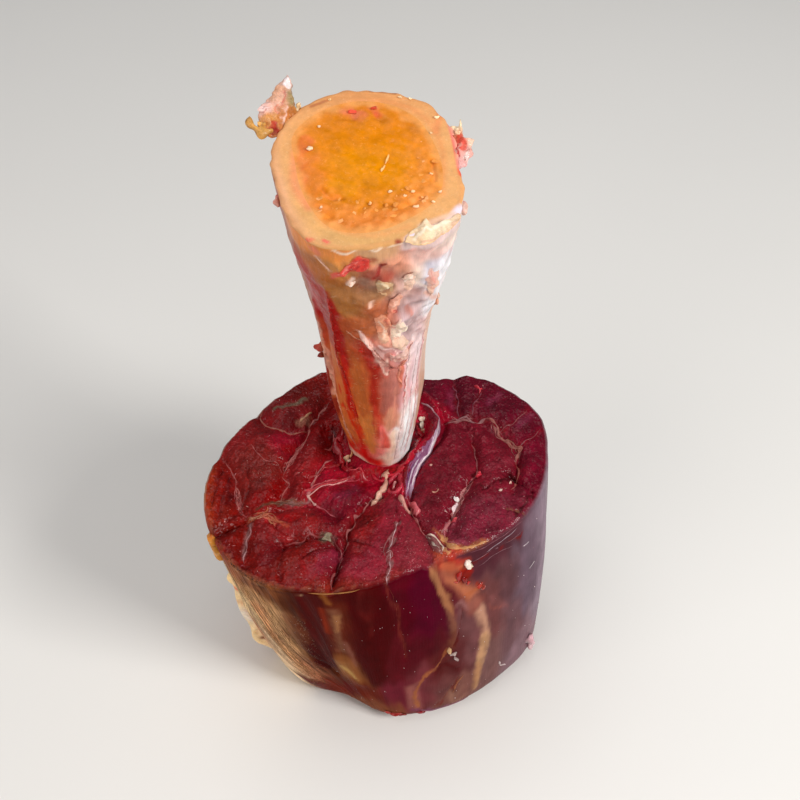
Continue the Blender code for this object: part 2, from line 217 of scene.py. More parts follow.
def flow(path, step):
    """Even points, this far apart, on a smooth curve through the path's points."""
    points = path_points(path)
    run = np.concatenate([[0], np.cumsum(np.linalg.norm(np.diff(points, axis=0), axis=1))])
    at = np.linspace(0, run[-1], max(int(run[-1] / step), 3) + 1)
    return np.stack([smooth_curve(np.stack([run, column], -1), at) for column in points.T], axis=-1)


def distance_to_path(x, y, path):
    """Distance in the plane from each point to a path of straight stretches."""
    nearest = np.full(np.shape(x), np.inf)
    path = path_points(path)
    for (ax, ay), (bx, by) in zip(path[:-1], path[1:]):
        run_x, run_y = bx - ax, by - ay
        along = np.clip(((x - ax) * run_x + (y - ay) * run_y) / (run_x**2 + run_y**2), 0, 1)
        nearest = np.minimum(nearest, np.hypot(x - ax - along * run_x, y - ay - along * run_y))
    return nearest


def outline_radius(points, angles):
    """Radius, at these plan angles in radians, of a smooth closed outline through the plan points."""
    x, y = np.array(points, float).T
    knots = sorted(zip(np.mod(np.arctan2(y, x), 2 * math.pi), np.hypot(x, y)))
    return smooth_curve(knots, angles, 2 * math.pi)


def plan_ring(points, angles):
    """Plan points of the smooth outline at these angles."""
    radius = outline_radius(points, angles)
    return np.stack([radius * np.cos(angles), radius * np.sin(angles)], axis=-1)


def column_angles(points, count):
    """Plan angles that part the outline into short stretches at the front and longer ones at the back."""
    dense = np.linspace(0, 2 * math.pi, 2001)
    ring = plan_ring(points, dense)
    crowd = 1 + FRONT_CLOSER * ease((CROWDING_FROM - ring[1:, 1]) / CROWDING_RUN)
    length = np.concatenate([[0], np.cumsum(crowd * np.hypot(*np.diff(ring, axis=0).T))])
    return np.interp(np.arange(count) / count * length[-1], length, dense)


# Finer forms of the upper cut, in plan millimetres
CREASES = (  # half width, depth, path
    (1, 1.6, "-61,-27 -69,-31 -75,-35 -78,-38"),
    (1, 1.8, "-44,-42 -38,-40 -31,-37 -27,-37 -23,-38 -20,-43 -19,-49 -21,-60"),
    (0.9, 1.3, "0,-14 -6,-17 -9,-22 -12,-27 -14,-32 -16,-40 -17,-46 -22,-63"),
    (0.8, 1.2, "10,-16 12,-20 16,-28 20,-35 22,-40"),
    (1.2, 2.4, "27,38 30,31 30,24 27,16 21,8 17,1 14.5,-6 13.5,-14 13,-20"),
    (0.9, 1.4, "-60,-28 -53,-24 -47,-23 -42,-22 -35,-20"),
    (0.8, 1.2, "-36,30 -38,22 -42,14 -45,8 -47,1"),
    (0.7, 1, "43,18 44,12 45,4 44,-2 41,-7 37,-14 33,-24 29,-36"),
    (0.7, 0.8, "29,30 37,32 47,30 55,28 60,18 66,13 64,3 62,-8"),
    (0.8, 1.6, "60,-2 66,-9 70,-13"),
    (0.8, 1.1, "-70,-26 -64,-18 -62,-10 -64,0"),
    (0.7, 0.9, "-52,-30 -44,-36 -34,-38"),
    (0.7, 0.8, "6,-22 8,-32 5,-44"),
    (0.6, 0.9, "-43.6,-42.2 -44.3,-48.4 -44.7,-54.8 -44,-60.6"),
    (0.6, 0.8, "-36,-50.7 -31.7,-46 -26.5,-43 -22,-41"),
    (0.6, 0.9, "-16.2,-37.3 -9.1,-40.9 -3.5,-43.5"),
    (0.7, 1, "-77,-34.5 -71.1,-28.1 -65.1,-23.3"),
    (0.6, 0.8, "45.4,-8.5 47.1,-12.5 49.2,-10.3 54.2,-6.6 59,-5"),
    (0.5, 0.7, "56.7,-22.7 61.9,-24.3 66,-24.7"),
    (0.5, 0.6, "-75.9,0.4 -77.5,-10.2 -78.8,-20.2"),
    (0.5, 0.6, "-72.2,-3.8 -73.1,-8.2 -74.4,-18.8 -74.8,-28.1"),
)
SWELLS = (  # centre x and y, half widths, height
    (-26, -50, 8, 8, 0.9), (-44, -50, 8, 6, 0.8), (-12, -54, 7, 6, 0.7), (14, -46, 6, 6, 0.8),
    (-56, -44, 6, 7, 0.7), (-39, -10, 4, 8, 0.8), (-50, 4, 6, 8, 0.8), (38, -34, 6, 6, 0.9),
    (20, 22, 3, 8, -3.2), (14, 6, 2.5, 5, -2.2), (-25, -12, 5, 4, 1.2), (-14, -16, 6, 4, 1.2),
    (60, -3, 3, 2, -1.6), (26, -37, 4, 3, -0.8), (-28, 26, 2.5, 9, -2.0), (69, 6, 5, 12, 0.9),
    (2, -8, 3, 5, -1.5), (9, -8, 3, 5, -1.2),
)


def raised_at(x, y, humps):
    """Sum of bell-shaped humps, from the centre x and y, half widths and rise of each."""
    return sum(rise * bell(np.hypot((x - middle_x) / wide, (y - middle_y) / deep), 1)
               for middle_x, middle_y, wide, deep, rise in humps)


def raised_along(u, v, ridges, step, spread=None):
    """Sum of bell-shaped ridges, from the half width, rise and path of each."""
    return sum(rise * bell(distance_to_path(u, v, unrolled(flow(path, step), spread)), half_width)
               for half_width, rise, path in ridges)


def cut_relief(x, y):
    """Height of the upper cut over its plane, as the solid has it."""
    seam = np.min([distance_to_path(x, y, path) for path in SEAMS], axis=0)
    height = raised_at(x, y, LOBES) - SEAM_DEPTH * bell(seam, SEAM_HALF_WIDTH) - raised_at(x, y, HOLLOWS)
    return height + FOLD_HEIGHT * bell(distance_to_path(x, y, FOLD), FOLD_HALF_WIDTH)


def cut_height(x, y):
    """The relief with its finer swells, creases and the uneven grain that the knife leaves."""
    place = np.stack([x, y], axis=-1)
    height = cut_relief(x, y) + 0.2 * ripple(place, 4.0, 3) + 0.07 * ripple(place, 1.4, 4)
    bent = place + 3.0 * np.stack([ripple(place, 12.0, 5), ripple(place, 12.0, 6)], axis=-1)
    across = bent[..., 0] * 0.34 - bent[..., 1] * 0.94
    along = bent[..., 0] * 0.94 + bent[..., 1] * 0.34
    height = height + 0.11 * ripple(np.stack([across * 0.35, along], axis=-1), 1.8, 7)
    height = height + raised_at(x, y, SWELLS) - 1.25 * raised_along(x, y, CREASES, 3.0)
    return CUT_HEIGHT + height


def cut_point(x, y, lift=0.0):
    """Point of the upper cut over a plan place."""
    return np.stack([x, y, cut_height(x, y) + lift], axis=-1)


def wall_radius(angles, height):
    """Radius of the meat's wall: foot outline to rim outline, with a slight bulge and its seams."""
    share = np.clip((height - FOOT_TURN_HEIGHT) / (CUT_HEIGHT - FOOT_TURN_HEIGHT), 0, 1)
    foot = outline_radius(FOOT, angles)
    rim = outline_radius(RIM, angles)
    bulge = WALL_BULGE + WALL_LEAN * np.cos(angles)
    radius = foot + (rim - foot) * share + bulge * np.sin(math.pi * share)
    for seam in WALL_SEAMS:
        off = np.mod(angles - math.radians(seam) + math.pi, 2 * math.pi) - math.pi
        radius = radius - WALL_SEAM_DEPTH * np.sin(math.pi * share) * bell(off * rim, WALL_SEAM_HALF_WIDTH)
    turn = np.clip(1 - height / FOOT_TURN_HEIGHT, 0, 1)
    return radius - FOOT_TURN_INSET * (1 - np.sqrt(1 - turn**2))


def from_front(degrees):
    """Angle from the front, -180 to 180 degrees, so that a side laid flat parts at the back."""
    return np.mod(np.asarray(degrees, float) - 90, 360) - 180


def unroll(degrees, height):
    """Place on the wall laid flat, in millimetres from the front's middle."""
    return np.radians(from_front(degrees)) * WALL_ROUND, np.asarray(height, float)


def unrolled(path, spread):
    """The path's points, laid flat by spread if there is one."""
    points = path_points(path)
    return np.stack(spread(*points.T), axis=-1) if spread else points


def laid_flat(rows, spread):
    """The rows with the path, the last entry of each, laid flat."""
    return [(*row[:-1], unrolled(row[-1], spread)) for row in rows]


WALL_FORMS = (  # half width, rise, path of angles and heights
    (2.2, 0.7, "294,131 296,121 299,106 301,95 302,82 302,74 301,66"),
    (2.6, 0.8, "312.5,93 314.5,81 316,71 315,49 314,40 311,17"),
    (1, 0.6, "300,62 293,54 289,47 285,36 284,22 284,14"),
    (0.8, -0.9, "304,100 306.5,92 304,76 301.5,66"),
    (1.2, -0.8, "272,132 275,118 277,100 279,84 279.5,66"),
    (0.9, -1.2, "304,35 300,22 297,15 292,10"),
    (0.9, -1, "311,124 316,126 322,127 334,123"),
    (3, 1, "301,57 300,62"),
    (5, 1.4, "252,62 254,50 258,38"),
    (4, 1, "296,30 292,44"),
    (1, -1, "232,76 236,62 242,48 248,36"),
    (5, 1.2, "209,70 214,50 222,30 232,16"),
    (0.8, -0.7, "294,50 298,45 304,44"),
    (0.8, -0.6, "293,55 298,50 305,50"),
    (3, 0.9, "304,118 309,112 315,104"),
    (1.2, -0.9, "40,131 44,98 38,62 43,24"),
    (1.3, 0.6, "68,130 72,94 66,58 70,18"),
    (1.2, -1, "106,131 110,96 105,62 109,26"),
    (5, 1.1, "20,118 24,70 20,26"),
    (5, 1, "125,118 129,70 125,26"),
    (1.1, -0.8, "166,131 163,96 168,60 165,22"),
    (1.4, 0.6, "149,130 154,90 148,50 152,16"),
)


def fibre_lean(height):
    """Degrees by which the fibres of the left fascia have run to the right at this height."""
    return smooth_curve(((0, 62), (22, 28.4), (51, 12.6), (83, 6.4), (109, 2.9), (135, 0)), height)


def wall_fibres(degrees, height):
    """Place across and along the fibres, on a ring without a seam: a drawn pattern runs along them."""
    left = bell((np.mod(degrees, 360) - 232) / 34, 1)
    turned = np.radians(degrees - fibre_lean(height) * left)
    return np.stack([WALL_ROUND * np.cos(turned), WALL_ROUND * np.sin(turned), height * 0.06], axis=-1)


def wall_point(angles, height, out=0.0):
    """The wall with its finer forms: fat standing proud, creases, and swells along the fibres."""
    degrees = np.degrees(angles)
    u, v = unroll(degrees, height)
    free = ease(height / 14) * ease((CUT_HEIGHT + 3 - height) / 8)
    form = 0.12 * ripple(wall_fibres(degrees, height), 6.0, 11)
    left = bell((np.mod(degrees, 360) - 230) / 22, 1)
    form = form + 0.1 * left * ripple(wall_fibres(degrees, height), 1.6, 12)
    form = form + raised_along(u, v, WALL_FORMS, 6.0, unroll)
    radius = wall_radius(angles, height) + form * free + out
    return np.stack([radius * np.cos(angles), radius * np.sin(angles), height + 0 * radius], axis=-1)


def bone_axis(along):
    """Point on the bone's centre line and its way up there. Inside the meat the line turns upright."""
    along = np.asarray(along, float)
    lean = math.radians(BONE_LEAN)
    depth = np.clip(-along, 0, CUT_HEIGHT)
    bare = np.clip(along, 0, None)
    inside = math.tan(lean) * depth * (1 - depth / (2 * CUT_HEIGHT))
    x = BONE_AT_CUT[0] - math.tan(math.radians(BONE_LEAN_LEFT)) * along
    y = BONE_AT_CUT[1] + inside - math.sin(lean) * bare
    z = CUT_HEIGHT - depth + math.cos(lean) * bare
    tilt = np.arctan(math.tan(lean) * (1 - depth / CUT_HEIGHT))
    up = np.stack([0 * tilt, -np.sin(tilt), np.cos(tilt)], axis=-1)
    return np.stack([x, y, z], axis=-1), up


def flare(along):
    """How far the bone has turned from its shaft, 0, to its sawn end, 1."""
    return ease((np.asarray(along, float) - FLARE_START) / (BONE_LENGTH - FLARE_START))


def bone_radius(angles, along):
    """Outside radius: a rounded triangle along the shaft, which turns into the sawn end's outline."""
    degrees = np.degrees(angles)
    half = smooth_curve(BONE_HALF_WIDTH, along)
    ridges = 1 + SHAFT_TRIANGLE * np.cos(3 * (angles - math.radians(SHAFT_RIDGE_ANGLE)))
    end = smooth_curve(SAWN_OUTLINE, degrees, 360) / BONE_HALF_WIDTH[-1][1]
    radius = half * (ridges + (end - ridges) * flare(along))
    for lump_angle, lump_along, wide, rise in BONE_LUMPS:
        off = np.mod(degrees - lump_angle + 180, 360) - 180
        radius = radius + rise * bell(np.hypot(np.radians(off) * half, along - lump_along), wide)
    return radius


def canal_radius(angles, along):
    """Radius of the canal: its sawn outline, narrowed with the bone and more so along the shaft."""
    half = smooth_curve(BONE_HALF_WIDTH, along) / BONE_HALF_WIDTH[-1][1]
    share = CANAL_NARROWING + (1 - CANAL_NARROWING) * flare(along)
    return smooth_curve(CANAL_OUTLINE, np.degrees(angles), 360) * half * share


def along_bone(angles, along, radius, lift=0.0):
    """Point at this angle and radius round the centre line, raised by lift along it."""
    centre, up = bone_axis(along)
    across = np.stack([0 * up[..., 0], up[..., 2], -up[..., 1]], axis=-1)
    x = (radius * np.cos(angles))[..., None]
    y = (radius * np.sin(angles))[..., None]
    return centre + x * np.array([1.0, 0.0, 0.0]) + y * across + np.asarray(lift)[..., None] * up


def bone_unroll(degrees, along):
    """Place on the bone's side laid flat, in millimetres from the front's middle."""
    turned = np.radians(from_front(degrees))
    return turned * smooth_curve(BONE_HALF_WIDTH, along), np.asarray(along, float)


BONE_FORMS = (  # half width, rise, path of angles and distances along the bone
    (3.2, 1.5, "288,143 294,136 291,127"),
    (2.2, 1.1, "284,124 280,129"),
    (2.4, 1, "298,121 304,126"),
    (2.2, 0.9, "281,171 284,166"),
    (1, 1.2, "264,128 272,119 281,110 292,101"),
    (0.7, -1.2, "285,101 296,100 306,99"),
    (1, 0.7, "252,184 260,173"),
    (1.2, 0.8, "259,170 264,176"),
    (1.4, -1, "277,181 279,177 275,170"),
    (2.5, 0.9, "316,152 322,140 318,128"),
    (1.3, 0.8, "294,120 300,103 296,89 294,79"),
    (4.5, -0.7, "255,165 268,168"),
    (4.5, -0.6, "300,146 312,138 310,126"),
    (1.6, 0.9, "214,136 205,100 198,70 205,36 223,12"),
    (0.9, -0.9, "219,130 211,96 205,66 211,36"),
    (1.1, 0.6, "243,166 236,126 228,96 231,70"),
)


def membrane(degrees, along):
    """How far the torn, rumpled membrane covers the bone: high up, and most on the right."""
    turned = np.mod(degrees, 360)
    return ease((along - 92) / 24) * ease((189 - along) / 5) * (0.25 + 0.75 * bell((turned - 298) / 36, 1))


def bone_side(angles, along, out=0.0):
    """The bone's side with its finer forms: fat lumps, folds of periosteum and lengthwise fibres."""
    degrees = np.degrees(angles)
    radius = bone_radius(angles, along)
    u, v = bone_unroll(degrees, along)
    bare = ease(along / 5)
    place = np.stack([radius * np.cos(angles), radius * np.sin(angles), along], axis=-1)
    form = 0.12 * ripple(place * (1, 1, 0.3), 6.0, 21) + 0.05 * ripple(place * (1, 1, 0.12), 1.5, 22)
    form = form + membrane(degrees, along) * (0.4 * ripple(place, 5.5, 23) + 0.2 * ripple(place, 2.3, 24))
    form = form + raised_along(u, v, BONE_FORMS, 5.0, bone_unroll)
    return along_bone(angles, along, radius + form * bare + out)


def on_wall(u, v, lift=0.0):
    """Point of the wall from its place laid flat."""
    return wall_point(math.radians(270) + u / WALL_ROUND, v, lift)


def on_bone(u, v, lift=0.0):
    """Point of the bone's side from its place laid flat."""
    return bone_side(math.radians(270) + u / smooth_curve(BONE_HALF_WIDTH, v), v, lift)


def on_sawn_end(x, y, lift=0.0):
    """Point over the sawn end from its own place, x to the right and y to the back."""
    return along_bone(np.arctan2(y, x), BONE_LENGTH + 0 * x, np.hypot(x, y), lift)


# Meshes


def linear(code):
    """Linear colour of an sRGB hex value."""
    value = np.array([int(code[at:at + 2], 16) for at in (1, 3, 5)]) / 255
    return np.where(value <= 0.04045, value / 12.92, ((value + 0.055) / 1.055) ** 2.4)


def tone(name):
    """Linear colour of a named tone or a hex value."""
    return linear(TONES.get(name, name))


def mixed(colour, other, share):
    """The colour with this share of another, or of a tone given by name, mixed in."""
    other = tone(other) if isinstance(other, str) else other
    return colour + (other - colour) * np.clip(share, 0, 1)[..., None]


def woven(rings, capped):
    """Points and four-sided faces of rings that close on the first ring, or on a point at each end."""
    count, columns = rings.shape[:2]
    row = np.arange(count - 1 if capped else count)[:, None] * columns
    column = np.arange(columns)[None, :]
    after = (column + 1) % columns
    above = (row + columns) % (count * columns)
    faces = np.stack([row + column, row + after, above + after, above + column], axis=-1).reshape(-1, 4)
    points = rings.reshape(-1, 3)
    if capped:
        poles = np.stack([rings[0].mean(axis=0), rings[-1].mean(axis=0)])
        points = np.concatenate([points, poles])
        low, last = count * columns, (count - 1) * columns
        at = np.arange(columns)
        beside = (at + 1) % columns
        start = np.stack([low + 0 * at, beside, at, at], axis=-1)
        end = np.stack([low + 1 + 0 * at, last + at, last + beside, last + beside], axis=-1)
        faces = np.concatenate([faces, start, end])
    corner = points[faces]
    volume = np.einsum("ij,ij->", corner[:, 0], np.cross(corner[:, 1], corner[:, 2]))
    volume += np.einsum("ij,ij->", corner[:, 0], np.cross(corner[:, 2], corner[:, 3]))
    return points, faces if volume > 0 else faces[:, ::-1]


SHARP_FROM = 70.0  # degrees between two faces from which their edge stays sharp


def piece(name, parts, finishes, node, grain=None, finish_of=None, fibrous=1.0):
    """One mesh of closed parts, each of rings, a capped flag and a colour per point.

    A face whose last two corners are one point is a triangle. Points keep their tone, with how far the
    fibres show as its alpha, and their place across and along the fibres where grain gives it.
    """
    points, faces, colours, start = [], [], [], 0
    for rings, capped, colour in parts:
        part_points, part_faces = woven(rings, capped)
        colour = np.broadcast_to(colour, rings.shape).reshape(-1, 3)
        if capped:
            first, last = colour[:rings.shape[1]].mean(axis=0), colour[-rings.shape[1]:].mean(axis=0)
            colour = np.concatenate([colour, [first], [last]])
        points.append(part_points)
        faces.append(part_faces + start)
        colours.append(colour)
        start += len(part_points)
    points, faces, colours = map(np.concatenate, (points, faces, colours))
    three = (faces[:, 2] == faces[:, 3]) | (faces[:, 0] == faces[:, 1])
    kept = np.ones(faces.shape, bool)
    kept[faces[:, 2] == faces[:, 3], 3] = False
    kept[faces[:, 0] == faces[:, 1], 0] = False
    sides = np.where(three, 3, 4)
    mesh = bpy.data.meshes.new(name)
    mesh.vertices.add(len(points))
    mesh.vertices.foreach_set("co", (points * MM).astype(np.float32).ravel())
    mesh.loops.add(int(sides.sum()))
    mesh.loops.foreach_set("vertex_index", faces[kept].astype(np.int32))
    mesh.polygons.add(len(faces))
    mesh.polygons.foreach_set("loop_start", np.concatenate([[0], np.cumsum(sides)[:-1]]).astype(np.int32))
    if finish_of is not None:
        mesh.polygons.foreach_set("material_index", finish_of.astype(np.int32))
    mesh.update(calc_edges=True)
    mesh.validate()
    mesh.shade_smooth()
    mesh.set_sharp_from_angle(angle=math.radians(SHARP_FROM))
    shown = mesh.attributes.new("tone", "FLOAT_COLOR", "POINT")
    colours = np.clip(colours, 0, 1)
    colours = np.column_stack([colours, np.broadcast_to(fibrous, len(colours))])
    shown.data.foreach_set("color", colours.astype(np.float32).ravel())
    fibres = mesh.attributes.new("fibres", "FLOAT_VECTOR", "POINT")
    grain = points if grain is None else grain
    fibres.data.foreach_set("vector", (grain * MM).astype(np.float32).ravel())
    for finish in finishes:
        mesh.materials.append(finish)
    made = bpy.data.objects.new(name, mesh)
    bpy.context.scene.collection.objects.link(made)
    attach(made, "root")
    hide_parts(node)
    return made


def fields(u, v, places, soft):
    """Tone of each point: the fields' tones, each weighed by how deep the point lies in that field."""
    reach = np.stack([radius - distance_to_path(u, v, path) for _, radius, path in places])
    weight = np.exp((reach - reach.max(axis=0)) / soft)
    weight /= weight.sum(axis=0)
    return np.einsum("np,nc->pc", weight, np.array([tone(name) for name, _, _ in places]))


def paint(colour, u, v, strokes, spread=None):
    """Mixes in each stroke's tone along its path, from name, half width, soft edge, strength and path."""
    for name, half_width, soft, strength, path in strokes:
        off = distance_to_path(u, v, unrolled(flow(path, 4.0), spread))
        colour = mixed(colour, name, strength * (1 - ease((off - half_width) / soft + 0.5)))
    return colour


# Tones of the upper cut, in plan millimetres. A field has its tone, reach and path, and a stroke has its
# tone, half width, soft edge, strength and path.
CUT_FIELDS = (
    ("right_muscle", 9, "33,12 29,-8 26,-24"),
    ("right_muscle", 9, "52,18 55,0 52,-12"),
    ("right_front", 8, "56,-18 44,-28 36,-36"),
    ("outer_band", 5, "70,-10 73,6 71,18"),
    ("back_band", 6, "68,32 54,46 36,48"),
    ("back_band", 6, "22,50 16,56"),
    ("front_muscle", 9, "8,-26 4,-40 -6,-54"),
    ("front_rose", 6, "14,-36 14,-50"),
    ("plum", 6, "-12,-16 -20,-22"),
    ("front_left", 6, "-6,-28 -10,-44"),
    ("front_left", 8, "-30,-48 -34,-58"),
    ("plum", 5, "-22,-46 -26,-54"),
    ("front_left", 7, "-48,-34 -36,-32"),
    ("left_outer", 6, "-52,-54 -44,-58"),
    ("#7F2216", 3, "-34,-62 -20,-64 -6,-63 6,-61"),
    ("left_outer", 7, "-70,-40 -66,-36"),
    ("left_outer", 7, "-75,-6 -73,-22"),
    ("left_edge", 3, "-82,-8 -80,-24"),
    ("marbled", 9, "-62,8 -58,-8"),
    ("deep", 4, "-50,-12 -54,-18"),
    ("front_left", 6, "-60,24 -66,16"),
    ("crimson", 4, "-46,16 -50,18"),
    ("front_left", 6, "-52,32 -44,34"),
    ("left_outer", 6, "-38,48 -14,58"),
    ("front_left", 5, "-36,12 -39,-2 -40,-12"),
    ("deep", 4, "-27,30 -25,14"),
    ("crimson", 5, "-18,10 -8,0"),
    ("crimson", 4, "-28,-4 -32,-12"),
    ("crimson", 5, "20,34 16,14 11,2"),
    ("crimson", 4, "-4,-6 6,-8"),
)
CUT_STROKES = (
    ("left_edge", 3, 5, 0.8, "-82,0 -83,-12 -80,-28"),
    ("dark", 1, 2.5, 0.7, "-72,-6 -71,-16 -73,-24"),
    ("marbled", 5, 6, 0.6, "-60,4 -52,0"),
    ("blood", 2, 3, 0.7, "-41,14 -47,12"),
    ("blood", 2, 3, 0.8, "-39,-27 -42,-28"),
    ("deep", 3, 5, 0.8, "-48,-8 -51,-15 -58,-16"),
    ("olive", 1.1, 2, 0.8, "-54,37 -48,38 -42,40 -39,43"),
    # Painted sheen: the next five strokes lay the sky's pale reflection over the muscle.
    ("sky_sheen", 2, 4, 0.35, "-14,-4 -12,-12 -20,-16"),
    ("sky_sheen", 3, 4, 0.3, "-20,-46 -26,-52"),
    ("sky_sheen", 1.2, 3, 0.4, "33,40 34,50"),
    ("sky_sheen", 1.5, 3, 0.45, "52,40 58,46"),
    ("sky_sheen", 1.5, 3, 0.45, "66,26 72,32"),
    # Painted shade: dark strokes in the hollow left of the bone, inside the fold, and in the hollow in
    # front of the bone.
    ("dark", 1.5, 3, 0.8, "-24,26 -24,14 -20,6 -12,2"),
    ("dark", 1.5, 2.5, 0.8, "17,28 15,14 11,4"),
    ("deep", 2, 3, 0.7, "-16,-4 -8,-6"),
    ("blood", 1.6, 2, 0.7, "-4,0 -14,-2 -21,-6 -28,-10 -33,-15"),
    ("blood", 1.5, 2, 0.8, "-3,0 5,0 10,-2"),
    ("crimson", 2, 2, 0.8, "10,-14 13,-6 17,4 24,16 26,28"),
    # Painted sheen: the sky's reflection along the fold.
    ("sky_sheen", 1, 1.4, 0.7, "22,12 17.5,5 14,-1 12.6,-8 11.2,-16"),
    ("fat_peach", 1, 2.2, 0.5, "-61,-27.4 -57,-26.8 -53,-25.4"),
    ("#6E4636", 0.9, 1.8, 0.7, "-50,-19.5 -46.7,-17.2 -42.7,-17.6 -37,-17.2"),
    ("fat_peach", 0.7, 1.8, 0.5, "-53,-26 -50.2,-28.5 -46.6,-30.7 -43,-33"),
    ("grey", 0.5, 1.2, 0.5, "-44,-18.6 -38,-18.4 -33,-16.6"),
    ("olive", 1.5, 2, 0.7, "-27,-37 -23,-38"),
    ("#A8705C", 1.2, 1.8, 0.7, "-36,31 -41,28"),
    ("grey", 0.8, 1.6, 0.5, "-60,-30 -61,-38 -62,-48"),
    ("grey", 0.5, 1, 0.5, "7.4,-29.8 5.1,-39.4 3.3,-46.9 4.2,-52.7 2.5,-59.6"),
    # Painted shade: dark lines in the creases in front of the bone.
    ("dark", 0.3, 0.8, 0.7, "6.4,-30 4,-39 2.2,-46.5 3.2,-52.7 1.4,-59.6"),
    ("dark", 0.35, 1, 0.6, "-14,-29.1 -16.2,-37.3 -18.3,-44.3 -19.9,-50.6 -21.4,-57"),
    ("dark", 0.35, 1, 0.6, "-12.3,-23.1 -5.9,-16.9 0.7,-12.8"),
    ("fat_yellow", 1.3, 2.2, 0.9, "25.5,-34.5 27.3,-36.1 29.1,-39 31.6,-42.3 37,-43.8 44.2,-41.7 "
     "49,-39.6"),
    ("fat_peach", 2.4, 3, 0.85, "25,-46 29.3,-46.4 34,-45.8"),
    ("#A83028", 1.2, 2.2, 0.8, "31,-46.4 35.9,-45.9"),
    ("#94384A", 1.2, 2.4, 0.6, "33.5,-28 30.2,-32.4 30,-36 32.8,-39.4 37.6,-41"),
    # Painted shade: dark in the pit and in the slit on the right of the cut.
    ("dark", 1.2, 1.6, 0.9, "60,-2 62,-5"),
    ("dark", 0.7, 1, 0.8, "61,-27 70,-14"),
    ("front_left", 1, 2, 0.6, "-16,-61 -10,-60"),
    ("#6D0F07", 3.5, 4, 0.7, "-41.3,-51.9 -38.1,-46 -35.9,-40.2"),
    ("#5C0813", 4, 4, 0.6, "-51,-50 -48,-44"),
    ("#7E1C2A", 3, 4, 0.6, "-26.2,-47 -25,-53 -29.4,-56"),
    ("#8D0A0F", 1.8, 2.5, 0.7, "-52,-28.9 -45.7,-27.2 -41.8,-29.2"),
    ("#711507", 2, 3, 0.6, "-77,-33.6 -73.9,-26.3 -71.7,-21.5"),
    ("#4A3424", 0.8, 1.4, 0.8, "-58.2,-22.7 -52.7,-20.7 -47,-17"),
    ("#822533", 2, 2.4, 0.6, "49.7,-0.4 55.7,2.2 62,6"),
    # Painted shade: the dark strokes from here on darken the creases of the relief.
    ("dark", 1.2, 1.4, 0.8, "55,-8.4 59,-5 62.4,-3"),
    ("dark", 0.35, 1, 0.7, "-47.7,-39.3 -43.6,-40.8 -38.7,-39.2 -34.1,-37.6 -27.7,-36 -23,-37.6 "
     "-17.5,-39.3"),
    ("dark", 0.3, 0.9, 0.6, "-43.6,-42.2 -44.3,-48.4 -44.7,-54.8 -44,-60.6"),
    ("dark", 0.25, 0.9, 0.5, "-36,-50.7 -31.7,-46 -26.5,-43 -22,-41"),
    ("dark", 0.3, 0.9, 0.6, "-16.2,-37.3 -9.1,-40.9 -3.5,-43.5"),
    ("dark", 0.4, 1.2, 0.6, "-77,-34.5 -71.1,-28.1 -65.1,-23.3"),
    ("dark", 0.25, 0.9, 0.5, "-75.9,0.4 -77.5,-10.2 -78.8,-20.2 -79.3,-24.1"),
    ("dark", 0.25, 0.9, 0.5, "-72.2,-3.8 -73.1,-8.2 -74.4,-18.8 -74.8,-28.1"),
    ("dark", 0.3, 0.9, 0.6, "45.4,-8.5 47.1,-12.5 49.2,-10.3 54.2,-6.6"),
    ("#8A5A40", 0.25, 0.6, 0.8, "56.7,-22.7 61.9,-24.3 66,-24.7"),
)

